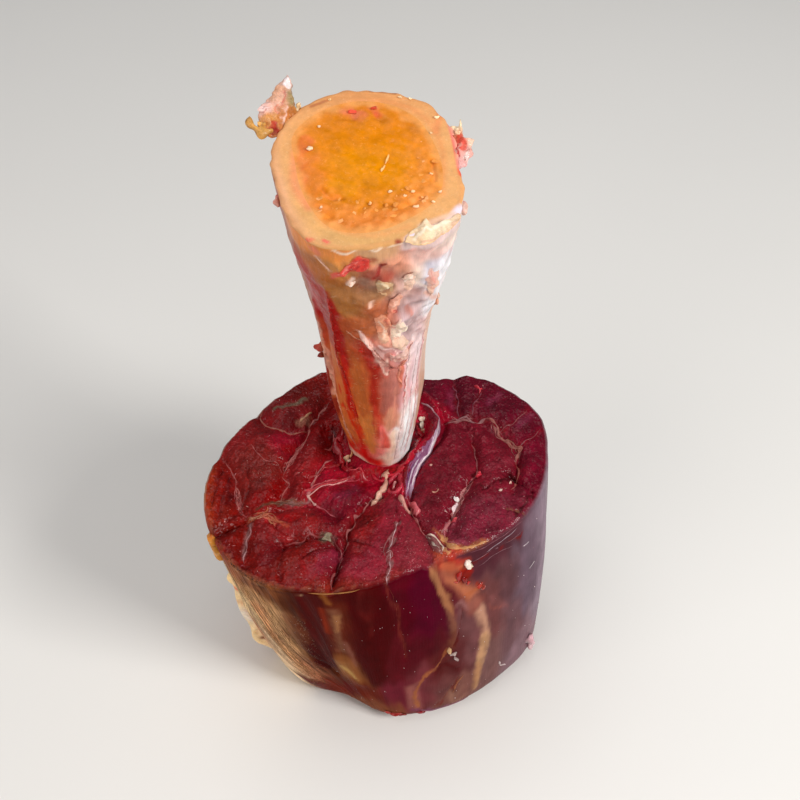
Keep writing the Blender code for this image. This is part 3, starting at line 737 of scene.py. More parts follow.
# Seams that part the muscles: tone, half width, height and path
SEAM_STRANDS = (
    ("#9D5652", 0.3, 0.24, "-75,7 -72,1 -69,-5 -68,-12 -67,-18 -65,-23 -61,-26"),
    ("#AE6963", 0.38, 0.36, "-26,44 -32,34 -36,26 -37,18 -41,12 -44,7 -46,1 -47,-3"),
    ("#99534F", 0.34, 0.3, "-47,-3 -44,-7 -46,-12 -47,-18"),
    ("#AA6959", 0.42, 0.3, "-59,36 -60,31 -56,27 -50,25 -43,23 -37,25"),
    ("#964D4B", 0.26, 0.24, "-63,14 -60,9 -56,5 -50,3 -47,-1"),
    ("#AA5756", 0.38, 0.36, "-24,25 -24,22 -25,17 -28,13"),
    ("#A76B6A", 0.42, 0.48, "-24,10 -28,5 -30,0 -32,-4 -33,-8 -34,-12 -34,-16 -33,-18"),
    ("#DBB2A9", 0.51, 0.48, "-34,-13 -34,-16 -32,-18 -30,-19"),
    ("#A35058", 0.26, 0.24, "-31,-19 -26,-22 -21,-26"),
    ("#AD5B40", 0.34, 0.3, "-53,-25 -50,-26 -47,-30 -43,-32"),
    ("#AA5942", 0.3, 0.3, "-55,-27 -51,-29 -48,-33"),
    ("#A87C7E", 0.3, 0.3, "-59.3,-29.4 -60.2,-36.8 -61.1,-44.1 -61.4,-50.7"),
    ("#8A4242", 0.26, 0.24, "-44,-41 -38,-39 -31,-36 -27,-36 -22.4,-37.5 -19,-43 -18,-49"),
    ("#A16361", 0.34, 0.3, "0,-14 -6,-17 -9,-22 -12,-27 -14,-32 -16,-40 -17,-46"),
    ("#9A5453", 0.3, 0.24, "-17,-46 -20,-54 -22,-61 -22,-64"),
    ("#CCB0B2", 0.15, 0.15, "7.4,-29.8 6.2,-35 5.1,-39.4 3.3,-46.9"),
    ("#C4A4A8", 0.15, 0.15, "3.6,-46 4.2,-52.7 2.5,-59.6 2.4,-63"),
    ("#8C6161", 0.18, 0.18, "3,-40 1.5,-44 1.5,-49"),
    ("#C89C9C", 0.15, 0.2, "2,-47.4 3.8,-46.4 4.6,-49.4 3,-50.6"),
    ("#E0B0A8", 0.3, 0.4, "-32.9,-16.3 -33.6,-12.7 -30.8,-10.9 -24.1,-8.9 -14.9,-3.3"),
    ("#B87068", 0.22, 0.3, "-30.9,1.2 -32.1,-4.6 -33.7,-11.6"),
    ("#D0A088", 0.3, 0.3, "22.9,-12.2 25.3,-13.5 26.3,-11.8"),
    ("#8E696A", 0.47, 0.36, "29,30 33,30 37,32 42,32 47,30 51,31"),
    ("#9D645A", 0.47, 0.36, "50,31 55,28 57,21 60,18 63,14 66,13 64,9 64,3"),
    ("#A66156", 0.34, 0.3, "64,4 64,-3 62,-8 60,-11"),
    ("#7A4451", 0.26, 0.18, "37,32 37,40 36,52 35,56"),
    ("#7D4652", 0.26, 0.18, "43,33 46,42 49,48"),
    ("#844648", 0.26, 0.18, "56,23 64,28 71,36"),
    ("#83454A", 0.21, 0.18, "65,13 73,20 77,24"),
    ("#A46163", 0.3, 0.24, "43,18 44,12 45,4 44,-2 41,-7"),
    ("#B57271", 0.47, 0.36, "41,-7 37,-14 35,-19 33,-24 31,-28 29,-33 28,-37"),
    ("#F3DCDE", 0.77, 0.48, "34.9,-17.6 33.8,-21 32.6,-24.6"),
    ("#A0545C", 0.35, 0.4, "32.1,-26.9 28.5,-32.1 28.4,-36.3 31.3,-40.3 36.9,-42.1"),
    ("#C07272", 0.34, 0.36, "10,-16 12,-18 16,-28 20,-35 22,-37"),
    ("#A9363C", 0.68, 0.72, "-38,-14.8 -33.8,-10.3 -28,-9.2 -22,-6.3 -15.4,-2.5 -8.3,-0.9"),
    ("#BF5860", 0.3, 0.54, "-36,-11.5 -31,-8 -25,-6.6 -19,-3.4 -12,-0.6"),
    ("#88181B", 0.59, 0.6, "-38,-8.4 -33,-3.6 -28.7,1.5 -22.4,7.2 -16.3,11.2"),
    ("#9A3E47", 0.26, 0.42, "-30,0 -25,4.6 -19,9.6"),
)

# Tones of the wall, in degrees round and millimetres up
WALL_FIELDS = (
    ("#8E2C18", 1.5, "204,132 209,131"),
    ("#874521", 4, "205,124 213,121"),
    ("#7E4726", 4, "220,126 229,127"),
    ("#B98557", 4, "212,113 224,112"),
    ("#F9D6A4", 6, "206,92 209,80 211,70"),
    ("#F9D49E", 4, "214,100 217,88 219,76"),
    ("#D28756", 3, "223,98 223,80 224,66"),
    ("#C79A6C", 4, "227.5,106 229,90 229.5,74 230,60"),
    ("#6E3E24", 2.4, "234,104 234,88 234,72 234,56"),
    ("#441A06", 2.4, "234.5,126 235.5,114"),
    ("#521504", 1.8, "237.6,98 237.6,82 237.6,66 237.6,52"),
    ("#420100", 6, "243.5,127 243.5,100 243.5,76 243,58 243,50"),
    ("#C75C34", 3, "211,58 214,50"),
    ("#F9D8AE", 5, "218,58 221,44 223,34 222,24 221,12"),
    ("#F9B57E", 3.4, "227,60 228,50 229,42 230,36"),
    ("#C17B58", 3.2, "234,42 235,34 236,27"),
    ("#4B1E09", 2, "239,45 241,38"),
    ("#55200B", 4, "244,38 248,32 249,28"),
    ("#5C131D", 3, "229,20 234,16"),
    ("#6D1D0B", 4, "242,23 246,16"),
    ("#5B0101", 3.5, "252,22 255,17"),
    ("#671901", 4, "259,32 262,25"),
    ("#7E452B", 4, "256,8 264,13 268,12"),
    ("#5C1F0C", 2.6, "250.5,120 251.5,104 252,88 252,72"),
    ("#834D29", 4.5, "251.5,62 253,52 255.5,42"),
    ("#430001", 5, "260.5,126 262,106 264,86 266,62 268,48"),
    ("#410104", 6, "270,118 271,96 272,70"),
    ("#520010", 4, "278.5,128 279.5,110 280,98"),
    ("#4C0019", 7, "286,120 289,104 291,88"),
    ("#4A0813", 6, "286,78 292,70 284,66"),
    ("#560B15", 5, "279,84 279,66 278,50"),
    ("#641A27", 6, "280,40 277,28"),
    ("#6A2C31", 6, "287,52 288,40 288,26"),
    ("#531A19", 5, "294,62 296,52 296,44"),
    ("#603332", 6, "297,36 298,26"),
    ("#562122", 4, "305,64 305,52 304,42"),
    ("#6A3F40", 4, "309,86 309,70 309,50"),
    ("#774B42", 4, "304,28 302,16"),
    ("#653837", 6, "320,100 320,84 320,60"),
    ("#4E242C", 5, "318,124 324,122 332,126"),
    ("#6D4946", 6, "320,52 320,36 318,22"),
    ("#563539", 7, "328,110 328,90"),
    ("#664448", 7, "330,72 330,54 330,36"),
    # Partly painted sheen: the right of the wall is the silver skin's own grey, lightened to grey-violet by
    # the sky's reflection painted in.
    ("#644F5B", 9, "340,118 339,92 338,66"),
    ("#7D5F66", 8, "338,40 334,22"),
    ("#806C78", 9, "354,120 352,80 348,44"),
    ("#74565E", 9, "10,118 14,70 8,20"),
    ("#5E343C", 7, "30,122 26,84 34,50 28,18"),
    ("#6E444A", 9, "50,116 56,74 50,26"),
    ("#8E6A5E", 3, "67,124 71,92 66,60 70,24"),
    ("#643A42", 8, "83,118 83,70 83,24"),
    ("#643A42", 8, "97,118 97,70 97,24"),
    ("#56262E", 8, "116,120 121,80 115,44 120,18"),
    ("#744038", 6, "138,120 134,84 141,50 137,20"),
    ("#9A6E54", 7, "157,120 161,76 156,24"),
    ("#7E4A38", 4, "173,124 170,92 175,56 172,20"),
    ("#BE8A66", 8, "188,116 189,66 192,24"),
)
WALL_STROKES = (
    ("#430100", 5.2, 2.2, 0.9, "243.3,128 243.3,100 243.3,76 243,58 242.6,49"),
    ("#430001", 5, 4, 0.7, "261,127 262,106 264,86 266,62 268,48"),
    ("#3C1C12", 0.5, 1.4, 0.8, "222,128 232,130 240,131"),
    ("#B08868", 0.25, 0.7, 0.7, "208,129.6 216,130.8 226,131.4 236,131 243,130"),
    ("#B0724E", 1.2, 3.4, 0.7, "212,66 214,54 219,40"),
    ("#F0C8A0", 1.4, 3.4, 0.7, "215,60 220,44 226,30 232,24"),
    ("#C07860", 1, 3.4, 0.6, "208,98 212,84 214,70"),
    ("#522C1C", 0.7, 1.4, 0.8, "226,74 230,58 236,44 244,32"),
    ("#8A4C1E", 1.2, 3.4, 0.9, "249.2,132 250,125"),
    ("#7A4A34", 1.6, 4.1, 0.9, "250.8,118 252,104 252.6,88 252.4,72"),
    ("#9C6840", 1, 2.7, 0.7, "251.6,112 253,96"),
    ("#7E2408", 1.4, 3.7, 0.8, "247,118 248,108 248.4,96"),
    ("#7C4A3C", 1.4, 4.1, 0.8, "255,84 256,72 257,62"),
    ("#956339", 2.4, 5.1, 0.8, "251,57 253,50 256,44"),
    ("#C09858", 1, 2.7, 0.8, "251.6,52 254,47 257,42"),
    ("#5E1815", 1.2, 5.1, 0.5, "263,132 264.5,110 266,92"),
    ("#6A241C", 0.8, 1.8, 0.75, "272.4,134 275,120 277,100 279,84 279.5,66"),
    ("#9D6056", 2, 7, 0.75, "283,40 283,26 284,16"),
    ("#3B000B", 3, 8.5, 0.4, "277,120 280,108 282,96"),
    ("#A06846", 1.7, 2.4, 0.95, "293.4,134 295.4,124 297.4,115 299.6,106 300.4,97"),
    ("#7E4C3C", 1.6, 2.7, 0.95, "300.6,96 301.2,89 301.2,81"),
    ("#6A3829", 1.5, 3.1, 0.9, "301.2,80 301,72 300.6,66"),
    ("#540B08", 0.5, 1.2, 0.8, "304.4,99 306.6,92 304,76 301.8,66"),
    ("#4A0608", 1.4, 3.1, 0.7, "294,51 299,50 303,44"),
    ("#7E3D31", 4.5, 8, 0.6, "303,126 306,114 308,102 312,94"),
    ("#9B5A35", 0.7, 1.2, 0.9, "300,62 293,54 289,47.5 285.3,36 284,23 284.5,15"),
    ("#A15842", 3.2, 7, 0.95, "300,126 304,116 308,108"),
    ("#B74A30", 2, 4.4, 0.95, "298,131 301,130 304,130"),
    ("#B2583C", 2.6, 3.4, 0.9, "299.5,130 303,129 307.5,126.5"),
    ("#A8281C", 1.1, 2.2, 0.85, "302,133.4 304.4,131.6 307,129.6"),
    ("#BD6D4C", 1.8, 5.2, 0.9, "302.4,120 306,114 309,108 311,102"),
    ("#B2603D", 1.6, 3.4, 0.85, "309,107 312,106"),
    ("#8D5C5A", 2.4, 4.4, 0.8, "305,100 309,96"),
    ("#955749", 1.8, 4.6, 0.9, "311,100 312.6,92"),
    ("#A6372B", 1.8, 3.1, 0.9, "305,130 309,129"),
    ("#82180A", 1.4, 2.7, 0.95, "304,123 306.4,120.4 308.6,119"),
    ("#8E1404", 1.2, 2.4, 0.95, "307.4,124 310,121"),
    ("#8A2812", 1.3, 2.4, 0.9, "312.7,110 315,105"),
    ("#6E1410", 0.5, 1, 0.9, "304,120 307.7,121.8 311.4,125.2 318.5,126.3 327.2,124.6 336,125"),
    ("#824C4A", 1.4, 3.4, 0.5, "318,97 323,86 326,78"),
    ("#B9886F", 1.8, 4, 0.95, "313.4,88 314.6,81 315.4,73 315,64"),
    ("#B68964", 1.7, 3.8, 0.95, "315,65 315,56 314.6,47 313.8,39"),
    ("#AB7B55", 1.5, 3.6, 0.95, "313.6,38 312.4,30 311.2,17"),
    ("#8C4A40", 0.5, 1.4, 0.6, "318,92 321,84 325,78"),
    # Painted sheen: a pale grey-violet reflection of the sky on the right of the wall.
    ("#856F7C", 4, 10.2, 0.4, "344,126 350,110 352,80"),
    ("#6F2D28", 0.6, 1, 0.95, "303.8,34 300,22 297.5,15 292,10"),
    ("#956A58", 2, 6, 0.8, "302,22 301,14 304,12"),
    ("#7F4462", 1.4, 3.4, 0.6, "284,12 292,6 300,5"),
    ("#61302B", 0.5, 1.2, 0.6, "258,16 268,8 280,5"),
    ("#98746A", 0.9, 3, 0.6, "20,128 25,92 19,56 24,20"),
    ("#3E1016", 0.7, 2.4, 0.7, "40,131 44,98 38,62 43,24"),
    ("#B08A70", 0.8, 2.6, 0.6, "68,130 72,94 66,58 70,18"),
    ("#3C0C12", 0.7, 2.4, 0.75, "106,131 110,96 105,62 109,26"),
    ("#A07060", 0.8, 3, 0.5, "128,126 124,88 130,52 127,20"),
    ("#C09470", 1.2, 4, 0.6, "149,130 154,90 148,50 152,16"),
    ("#5A2C20", 0.6, 2, 0.7, "166,131 163,96 168,60 165,22"),
    ("#D0A47C", 0.9, 3, 0.5, "180,128 184,92 179,54 183,18"),
)

# Tones of the bone's side, in degrees round and millimetres from the upper cut
BONE_FIELDS = (
    ("#D98137", 4, "228,189 246,189 258,189"),
    ("#C6946A", 4, "268,189 284,189"),
    ("#CE8E89", 4, "298,189 310,188"),
    ("#D8BFB3", 5, "318,184 326,182"),
    ("#E5B7AC", 5, "303,180 310,178"),
    ("#AB5E22", 6, "238,177 247,172"),
    ("#A31B15", 3.5, "229,172 229,160"),
    ("#C5823E", 4, "254,174 252,180"),
    ("#A2662F", 6, "249,164 252,156 256,149"),
    ("#854C3A", 4, "262,172 268,170 270,167"),
    ("#AC764A", 4, "270,164 278,162"),
    ("#9B3E2E", 5, "277,173 285,172"),
    ("#F0A07F", 5, "289,180 292,174"),
    ("#D6A99D", 4, "294,166 296,157"),
    ("#9D6053", 3, "302,157 305,154"),
    ("#D6BFAE", 5, "302,172 304,166"),
    ("#C4C2D6", 4, "311,171 312,162"),
    ("#DDD8DC", 7, "319,166 320,150 319,138"),
    ("#B79796", 7, "304,149 303,136 304,124"),
    ("#D1AFAE", 5, "313,130 316,118"),
    ("#AE5831", 5, "272,150 280,150 282,143"),
    ("#B45C2E", 6, "262,141 269,134"),
    ("#F9AC90", 4, "284,137 286,126"),
    ("#D0BBC3", 4, "294,141 294,130"),
    ("#A51610", 6, "224,160 222,146 219,132"),
    ("#910301", 3.5, "236,152 235,136 233,120 231,104"),
    ("#CF2403", 3, "236,92 238,76 239,60 238,44"),
    ("#AC4E25", 5, "247,140 248,124 248,108"),
    ("#B75F2B", 6, "250,96 252,80 253,66"),
    ("#D67D39", 6, "254,54 256,42 257,30"),
    ("#A82005", 4, "262,122 264,112"),
    ("#C23916", 3.2, "270.5,106 270.5,92 270.5,78 271,64"),
    ("#C47C79", 4, "277,118 282,113 286,110"),
    ("#A25E51", 4, "279,98 281,84 280,70"),
    ("#B65A3C", 3.5, "294,104 294.5,90 294,76 293,66"),
    ("#D0896B", 5, "286,60 288,50"),
    # Painted light: the full-bright tones below, #F95D5E, #F9D0AF and the three pure whites, are pale
    # membrane and blood raised to make up for the shade near the foot; on the right they also paint in the
    # light that falls from the right.
    ("#F95D5E", 4, "275,44 275,32 276,20"),
    ("#F9D0AF", 5, "288,40 288,26 287,12"),
    ("#E6D0D2", 8, "318,108 320,92 320,76"),
    ("#E5ABB0", 6, "307,104 307,84 306,66"),
    ("#F9F9F9", 8, "322,60 321,50 321,34"),
    ("#F9F9F9", 7, "304,44 304,30 303,14"),
    ("#F9F9F9", 7, "320,22 318,10"),
    ("#B13E21", 5, "208,116 208,92 207,72"),
    ("#CF7036", 5, "218,100 218,80 217,62 216,44 216,28"),
    ("#A65A38", 9, "190,170 184,120 180,60"),
    ("#D2A48C", 13, "350,140 350,80 350,30"),
    ("#C99A78", 13, "30,150 30,90 30,30"),
    ("#BE8058", 9, "62,150 60,90 64,30"),
    ("#B87450", 7, "82,150 82,90 82,30"),
    ("#B87450", 7, "98,150 98,90 98,30"),
    ("#C48A62", 6, "118,160 122,90 116,30"),
    ("#AA5C3C", 12, "150,150 150,90 150,30"),
)
BONE_STROKES = (
    # Painted highlight: the cream-white line just under the sawn edge.
    ("#E8D0B8", 0.5, 0.9, 0.9, "236,191.4 249,190.8 262,190.8 276,191 290,191 300,190.4"),
    ("#DCA890", 0.5, 0.8, 0.9, "241.5,184.4 245.6,181.4 248.7,178.4"),
    ("#D8443C", 1.5, 1.4, 0.95, "251.7,176.2 257.5,179.6 262.2,183.6 266,185.6 269.4,184"),
    ("#CB4034", 1.4, 1.6, 0.85, "260.3,180.4 266,181 269.7,181.4"),
    ("#C85848", 0.8, 1.4, 0.8, "249.6,173.6 252,176"),
    ("#D87058", 1.2, 1.8, 0.7, "240,188 243,186"),
    ("#EAC8B8", 0.5, 0.8, 0.9, "256.8,168.6 258.8,172.5 261.5,175.2"),
    ("#926F59", 2.2, 2.4, 0.6, "263,172 268,171 272,168"),
    ("#A0300C", 1, 1.6, 0.6, "273,184 276,186"),
    ("#8A1408", 1, 1, 0.95, "279.5,180.9 278,178 276.2,174.3 273.8,172.3"),
    ("#976A4C", 2, 1.6, 0.85, "277,168.4 281,168.6 284.4,165.4 279.6,164.2"),
    ("#F0C0A8", 0.6, 0.9, 0.9, "272.2,157.4 271.2,154"),
    ("#E08C74", 0.8, 1.2, 0.85, "291.9,156.5 288.2,153.2 285.4,147.2 282.6,144.2"),
    ("#C83C30", 0.8, 1, 0.85, "287,149.4 288.4,147.4"),
    ("#F0C4B0", 1, 1.4, 0.8, "276,140 280,136 279,130"),
    ("#F2D8CC", 0.7, 1, 0.9, "303,163 309,158 317,152"),
    ("#B86A58", 1, 1.6, 0.7, "297,148 299,142"),
    ("#BD786B", 2.4, 2.4, 0.8, "269,122 276,114 284,108"),
    ("#EBC0B0", 0.6, 0.8, 0.9, "259.1,134.4 264,128 268,122.6 276.1,112 282.8,105"),
    ("#D8A8A0", 1.6, 1.8, 0.7, "274,120 281,115"),
    ("#F2D0C8", 0.5, 0.9, 0.9, "276,124 284,118 292,116 300,117"),
    ("#6E2C24", 0.35, 0.6, 0.95, "283.3,104.5 290.2,101.2 296.9,100.3 303.7,99.4"),
    ("#D07058", 1, 1.4, 0.9, "307.8,117 303.6,106.6 296.8,101.2 294.4,91.7 297.4,84.2"),
    ("#C82818", 0.9, 0.9, 0.95, "259.4,118 260,117"),
    ("#9F0200", 2.2, 2.4, 0.95, "239.5,161 241.6,148 239.8,134.3 238.6,118.5 236.9,98"),
    ("#BD1002", 1.8, 2.2, 0.95, "236.4,100 233.5,84 234,70 236,59 242,53"),
    ("#8A2238", 1.2, 2, 0.6, "221,131.2 226.8,126.7"),
    ("#A42010", 1.6, 2.4, 0.9, "269.5,116 270.9,101.6 269,84.1 267.6,68.4 270.3,57.6"),
    ("#C83A26", 1.6, 2.2, 0.8, "271,62 272,52 270,46"),
    ("#D84838", 1.4, 2, 0.85, "279.6,42 278.4,34 277.8,27"),
    ("#CE2A02", 1.5, 2.2, 0.9, "219,62 228,53 237.4,42.5 243.5,28.6 245,12"),
    ("#E09A80", 0.8, 1.2, 0.85, "206.7,106 207.6,90.7 206.7,74 203.3,59.4 212.5,50.6"),
    ("#8A1810", 1.4, 2, 0.9, "206.3,122 201,93.5 200,73.4 198,53 201,40 204,20"),
    ("#D2622C", 1.6, 2.2, 0.8, "222,52 226,36 232,22"),
    # Painted light: the bright reds #F90A06 and #DE0F07 at the foot are blood raised in brightness to make
    # up for the shade that falls there.
    ("#F90A06", 3, 4, 0.95, "206,6 230,8 252,10 266,5"),
    ("#C41C28", 1.6, 2, 0.8, "262,2 280,2 300,1 320,1"),
    ("#DE0F07", 4, 7, 0.8, "204,8 214,13 228,17 242,14 256,7"),
    ("#DD2715", 2.4, 5, 0.6, "240,34 246,24 256,16 270,9"),
    # Partly painted highlight: pale fibres down the bone's right side, whitened as wet streaks of light.
    ("#F0D4D0", 1.2, 2.4, 0.7, "309,122 305,92 303,60 297,36 294,10"),
    ("#D88880", 0.8, 1.8, 0.8, "302,92 302,84 302,74"),
    ("#D68670", 0.7, 1.6, 0.6, "290,84 290,62 288,44"),
    ("#E09C98", 0.6, 1.6, 0.6, "307.6,83.9 314,57.4 315.5,31.8 313.5,11.1"),
    ("#CC8A88", 0.6, 1.6, 0.6, "328,112 326,70 320,30"),
    ("#DB9890", 1, 2, 0.6, "311.5,164 317.9,151.7"),
    ("#D88A60", 1, 2, 0.6, "311.1,152.7 319.9,145.2"),
    ("#BD8B8E", 1.2, 2, 0.6, "330,176 326,168"),
    ("#E0C4C0", 3, 2, 0.9, "296,189 306,188 318,188 328,187 336,186"),
    ("#B04A58", 1.6, 2, 0.8, "196,190 190,176 190,160"),
    ("#9C2A28", 1.4, 4, 0.6, "140,172 147,140 142,112 150,80 146,56"),
    ("#B04434", 1, 3, 0.5, "168,178 162,140 170,96 164,52 168,20"),
    ("#9C2A28", 1.2, 4, 0.5, "60,152 54,124 61,96 56,66 60,40"),
    ("#DDB896", 0.9, 3, 0.5, "110,184 116,152 110,118 118,82 112,44 116,16"),
    ("#DDB896", 1.4, 4, 0.4, "74,176 70,140 76,100 71,60 75,24"),
    ("#E4C4B0", 1.6, 5, 0.5, "14,170 8,130 13,90 8,40"),
)

# Tones of the sawn end: its own millimetres, x to the right and y to the back
MARROW_FIELDS = (
    ("#D28001", 12, "-4,4 6,2"),
    ("#CC7601", 9, "-10,12 8,14"),
    ("#CA770B", 7, "-12,-10 2,-10"),
    ("#D47E2D", 6, "18,8 19,-8"),
    ("#D1752B", 6, "-20,4 -16,-18"),
    ("#D1772F", 6, "0,-22 14,-18"),
    ("#CB761C", 5, "-16,18 0,25 16,18"),
)
MARROW_STROKES = (
    ("#D86C3C", 1.6, 3, 0.6, "-21,14 -23,5 -22,-5"),
    ("#CE664E", 1.8, 3, 0.75, "-7,27 -3,25.5"),
    ("#CF4D36", 1.5, 2.5, 0.75, "1.5,29 3,26.5"),
    ("#CE6A2C", 2, 4, 0.6, "-23,12 -22,2"),
    ("#E18238", 0.8, 1.2, 0.7, "-15,-8 -12,-12 -8,-12"),
    ("#D68333", 0.8, 1.2, 0.7, "-18,-17 -17,-22 -12,-20"),
    ("#D58125", 0.8, 1.4, 0.6, "6,-15 12,-16 18,-12"),
    ("#EC883A", 0.8, 1.4, 0.6, "22,4 23,-4"),
    ("#DA894C", 1.6, 2.5, 0.6, "16,-12 20,-14 18,-18"),
    ("#D47D31", 1.2, 2, 0.6, "-8,-18 -4,-20"),
    ("#D88702", 2.2, 3, 0.6, "-10,-6 -4,-8"),
    ("#D47E06", 2, 3, 0.5, "2,10 8,8"),
)
RING_STROKES = (
    ("#6E2810", 0.7, 1, 0.9, "1,37 5.2,36.8 10,36"),
    ("#A85C38", 0.6, 1, 0.7, "-14,32 -20,29"),
    ("#D8584C", 0.7, 1, 0.85, "-18.8,-29.4 -17.4,-29.6"),
    ("#DC5C50", 0.6, 1, 0.85, "-13.6,-29.8 -12.2,-30.6"),
    ("#8A2A28", 0.8, 1, 0.9, "10.4,-30 11.6,-31"),
    ("#D83C34", 0.5, 1, 0.9, "28.4,20 30,9.3 31,1.3 31.8,-2.1"),
    ("#E8A498", 1.4, 2, 0.7, "29,22 31,12 32,2"),
    ("#D07848", 1.2, 2, 0.6, "25,25.7 24.4,22 23.6,17.4"),
    ("#DFD2E0", 3.2, 2, 0.95, "16,-30 22,-27 28,-24 32,-18"),
    ("#E0B8A0", 1, 1.6, 0.8, "18,-24 24,-21 29,-19"),
    ("#DE8458", 1.4, 3, 0.7, "-19,20 -23.6,12 -24.6,2 -23.6,-8 -19,-16"),
    ("#DC8A50", 1, 2.6, 0.5, "-14,27 -4,31 8,31 18,26 24,16 26,4 25,-10"),
    ("#DE9458", 1, 2.4, 0.5, "-16,-20 -8,-26 4,-27.6 14,-24"),
)


# Finishes


def add(tree, kind, settings=(), inputs=()):
    """Adds a node, sets its properties, and gives its inputs, by name or place, a value or a link."""
    node = tree.nodes.new(kind)
    for name, value in dict(settings).items():
        setattr(node, name, value)
    for name, value in dict(inputs).items():
        if isinstance(value, bpy.types.NodeSocket):
            tree.links.new(value, node.inputs[name])
        else:
            node.inputs[name].default_value = value
    return node


def per_mm(size):
    """Pattern scale, in turns per metre, of a detail this many millimetres across."""
    return 1 / (size * MM)


def noise(tree, place, size, detail=2.0, **more):
    """Noise, 0 to 1, of a detail this many millimetres across."""
    inputs = {"Vector": place, "Scale": per_mm(size), "Detail": detail, **more}
    return add(tree, "ShaderNodeTexNoise", inputs=inputs).outputs[0]


def times_plus(tree, value, factor, rest):
    """The value times a factor, plus the rest."""
    inputs = {0: value, 1: factor, 2: rest}
    return add(tree, "ShaderNodeMath", {"operation": "MULTIPLY_ADD"}, inputs).outputs[0]


def ranged(tree, value, low, high, to_low, to_high, clamp=True):
    """The value carried from the range low to high over to the range to_low to to_high."""
    inputs = {"Value": value, "From Min": low, "From Max": high, "To Min": to_low, "To Max": to_high}
    return add(tree, "ShaderNodeMapRange", {"clamp": clamp}, inputs).outputs[0]


BUMP_HEIGHT = 0.5  # relief of the grain, in millimetres
WATER_BEND = 1.33  # index of refraction of the film of moisture
FILM_ROUGHNESS = 0.07
GLOW_REACH = (1.0, 0.45, 0.25)  # how far red, green and blue light spreads inside, as shares of the depth
GLOW_DEPTH = 4.0  # millimetres


def tissue(name, shade, fleck, rough, bend, wet, relief, fibre=False, glow=0.0, bundle=0.0):
    """Wet animal tissue. The points' tone is varied by swells, grain and flecks, under a film of moisture.

    shade: share by which swells and grain darken or lighten the tone, and the grain's size in millimetres.
    fleck: colour, size in millimetres and strength of pale flecks. bend: index of refraction. wet: share of
    the film. relief: strength of the grain's bumps. fibre: whether the grain runs along the fibres.
    bundle: size in millimetres of the cut bundles of fibres, if any show.
    """
    made = bpy.data.materials.new(name)
    made.use_nodes = True
    tree = made.node_tree
    shader = tree.nodes["Principled BSDF"]
    swell_share, grain_share, grain_size = shade
    fleck_tone, fleck_size, fleck_strength = fleck
    painted = add(tree, "ShaderNodeAttribute", {"attribute_name": "tone"})
    colour = painted.outputs["Color"]
    body = place = add(tree, "ShaderNodeTexCoord").outputs["Object"]
    if fibre:
        place = add(tree, "ShaderNodeAttribute", {"attribute_name": "fibres"}).outputs["Vector"]
    swell = noise(tree, body, 6)
    grain = noise(tree, place, grain_size, 3.0, Roughness=0.6)
    spots = noise(tree, body, fleck_size, Distortion=0.6)
    fine = noise(tree, place, 0.5)
    both = times_plus(tree, fine, 0.6, grain)
    for pattern, middle, share, amount in ((swell, 0.5, swell_share, 1.0),
                                           (both, 0.8, grain_share, painted.outputs["Alpha"])):
        light = ranged(tree, pattern, middle - 0.2, middle + 0.2, -share, share, clamp=False)
        light = times_plus(tree, light, amount, 1.0)
        colour = add(tree, "ShaderNodeVectorMath", {"operation": "SCALE"}, {
            0: colour, "Scale": light}).outputs[0]
    amount = ranged(tree, spots, 0.6, 0.72, 0.0, fleck_strength)
    colour = add(tree, "ShaderNodeMix", {"data_type": "RGBA"}, {
        0: amount, 6: colour, 7: (*linear(fleck_tone), 1)}).outputs[2]
    tree.links.new(colour, shader.inputs["Base Color"])
    tree.links.new(ranged(tree, grain, 0.3, 0.7, rough - 0.08, rough + 0.12), shader.inputs["Roughness"])
    height = times_plus(tree, fine, 0.4, grain)
    if bundle:
        cells = add(tree, "ShaderNodeTexVoronoi", {"feature": "SMOOTH_F1"}, {
            "Vector": body, "Scale": per_mm(bundle), "Smoothness": 0.4, "Randomness": 1.0})
        height = times_plus(tree, cells.outputs["Distance"], -1.2, height)
    height = add(tree, "ShaderNodeMath", {"operation": "MULTIPLY"}, {
        0: height, 1: painted.outputs["Alpha"]}).outputs[0]
    for socket, strength in (("Normal", relief), ("Coat Normal", relief * 0.5)):
        bump = add(tree, "ShaderNodeBump", inputs={
            "Strength": strength, "Distance": BUMP_HEIGHT * MM, "Height": height}).outputs[0]
        tree.links.new(bump, shader.inputs[socket])
    shader.inputs["IOR"].default_value = bend
    shader.inputs["Coat Weight"].default_value = wet
    shader.inputs["Coat Roughness"].default_value = FILM_ROUGHNESS
    shader.inputs["Coat IOR"].default_value = WATER_BEND
    if glow:
        shader.inputs["Subsurface Weight"].default_value = glow
        shader.inputs["Subsurface Radius"].default_value = GLOW_REACH
        shader.inputs["Subsurface Scale"].default_value = GLOW_DEPTH * MM
    return made


# Fresh-cut muscle: dark red with a granular cut of fibre bundles about 1 mm across, and wet glints
raw_muscle = tissue("raw_muscle", (0.18, 0.22, 1.1), ("#B98080", 0.8, 0.12),
                    rough=0.34, bend=1.1, wet=0.45, relief=0.8, bundle=1.4)
# Silver skin over the wall: thin, satin, with fine fibres that run down it and a little moisture
silver_skin = tissue("silver_skin", (0.08, 0.13, 0.9), ("#B09A98", 0.6, 0.01),
                     rough=0.26, bend=1.03, wet=0.05, relief=0.16, fibre=True)
# Scraped shin bone under its torn periosteum: waxy, with lengthwise fibres and blood left in streaks
shin_bone = tissue("scraped_bone", (0.06, 0.08, 0.8), ("#F3D9C8", 0.7, 0.1),
                   rough=0.36, bend=1.2, wet=0.15, relief=0.25, fibre=True, glow=0.05)
# Sawn bone: dense and matt, polished a little by the blade, cream with faint tan clouds
sawn_bone = tissue("sawn_bone", (0.04, 0.04, 0.7), ("#F6D3A4", 0.8, 0.15),
                   rough=0.42, bend=1.2, wet=0.1, relief=0.15, glow=0.05)
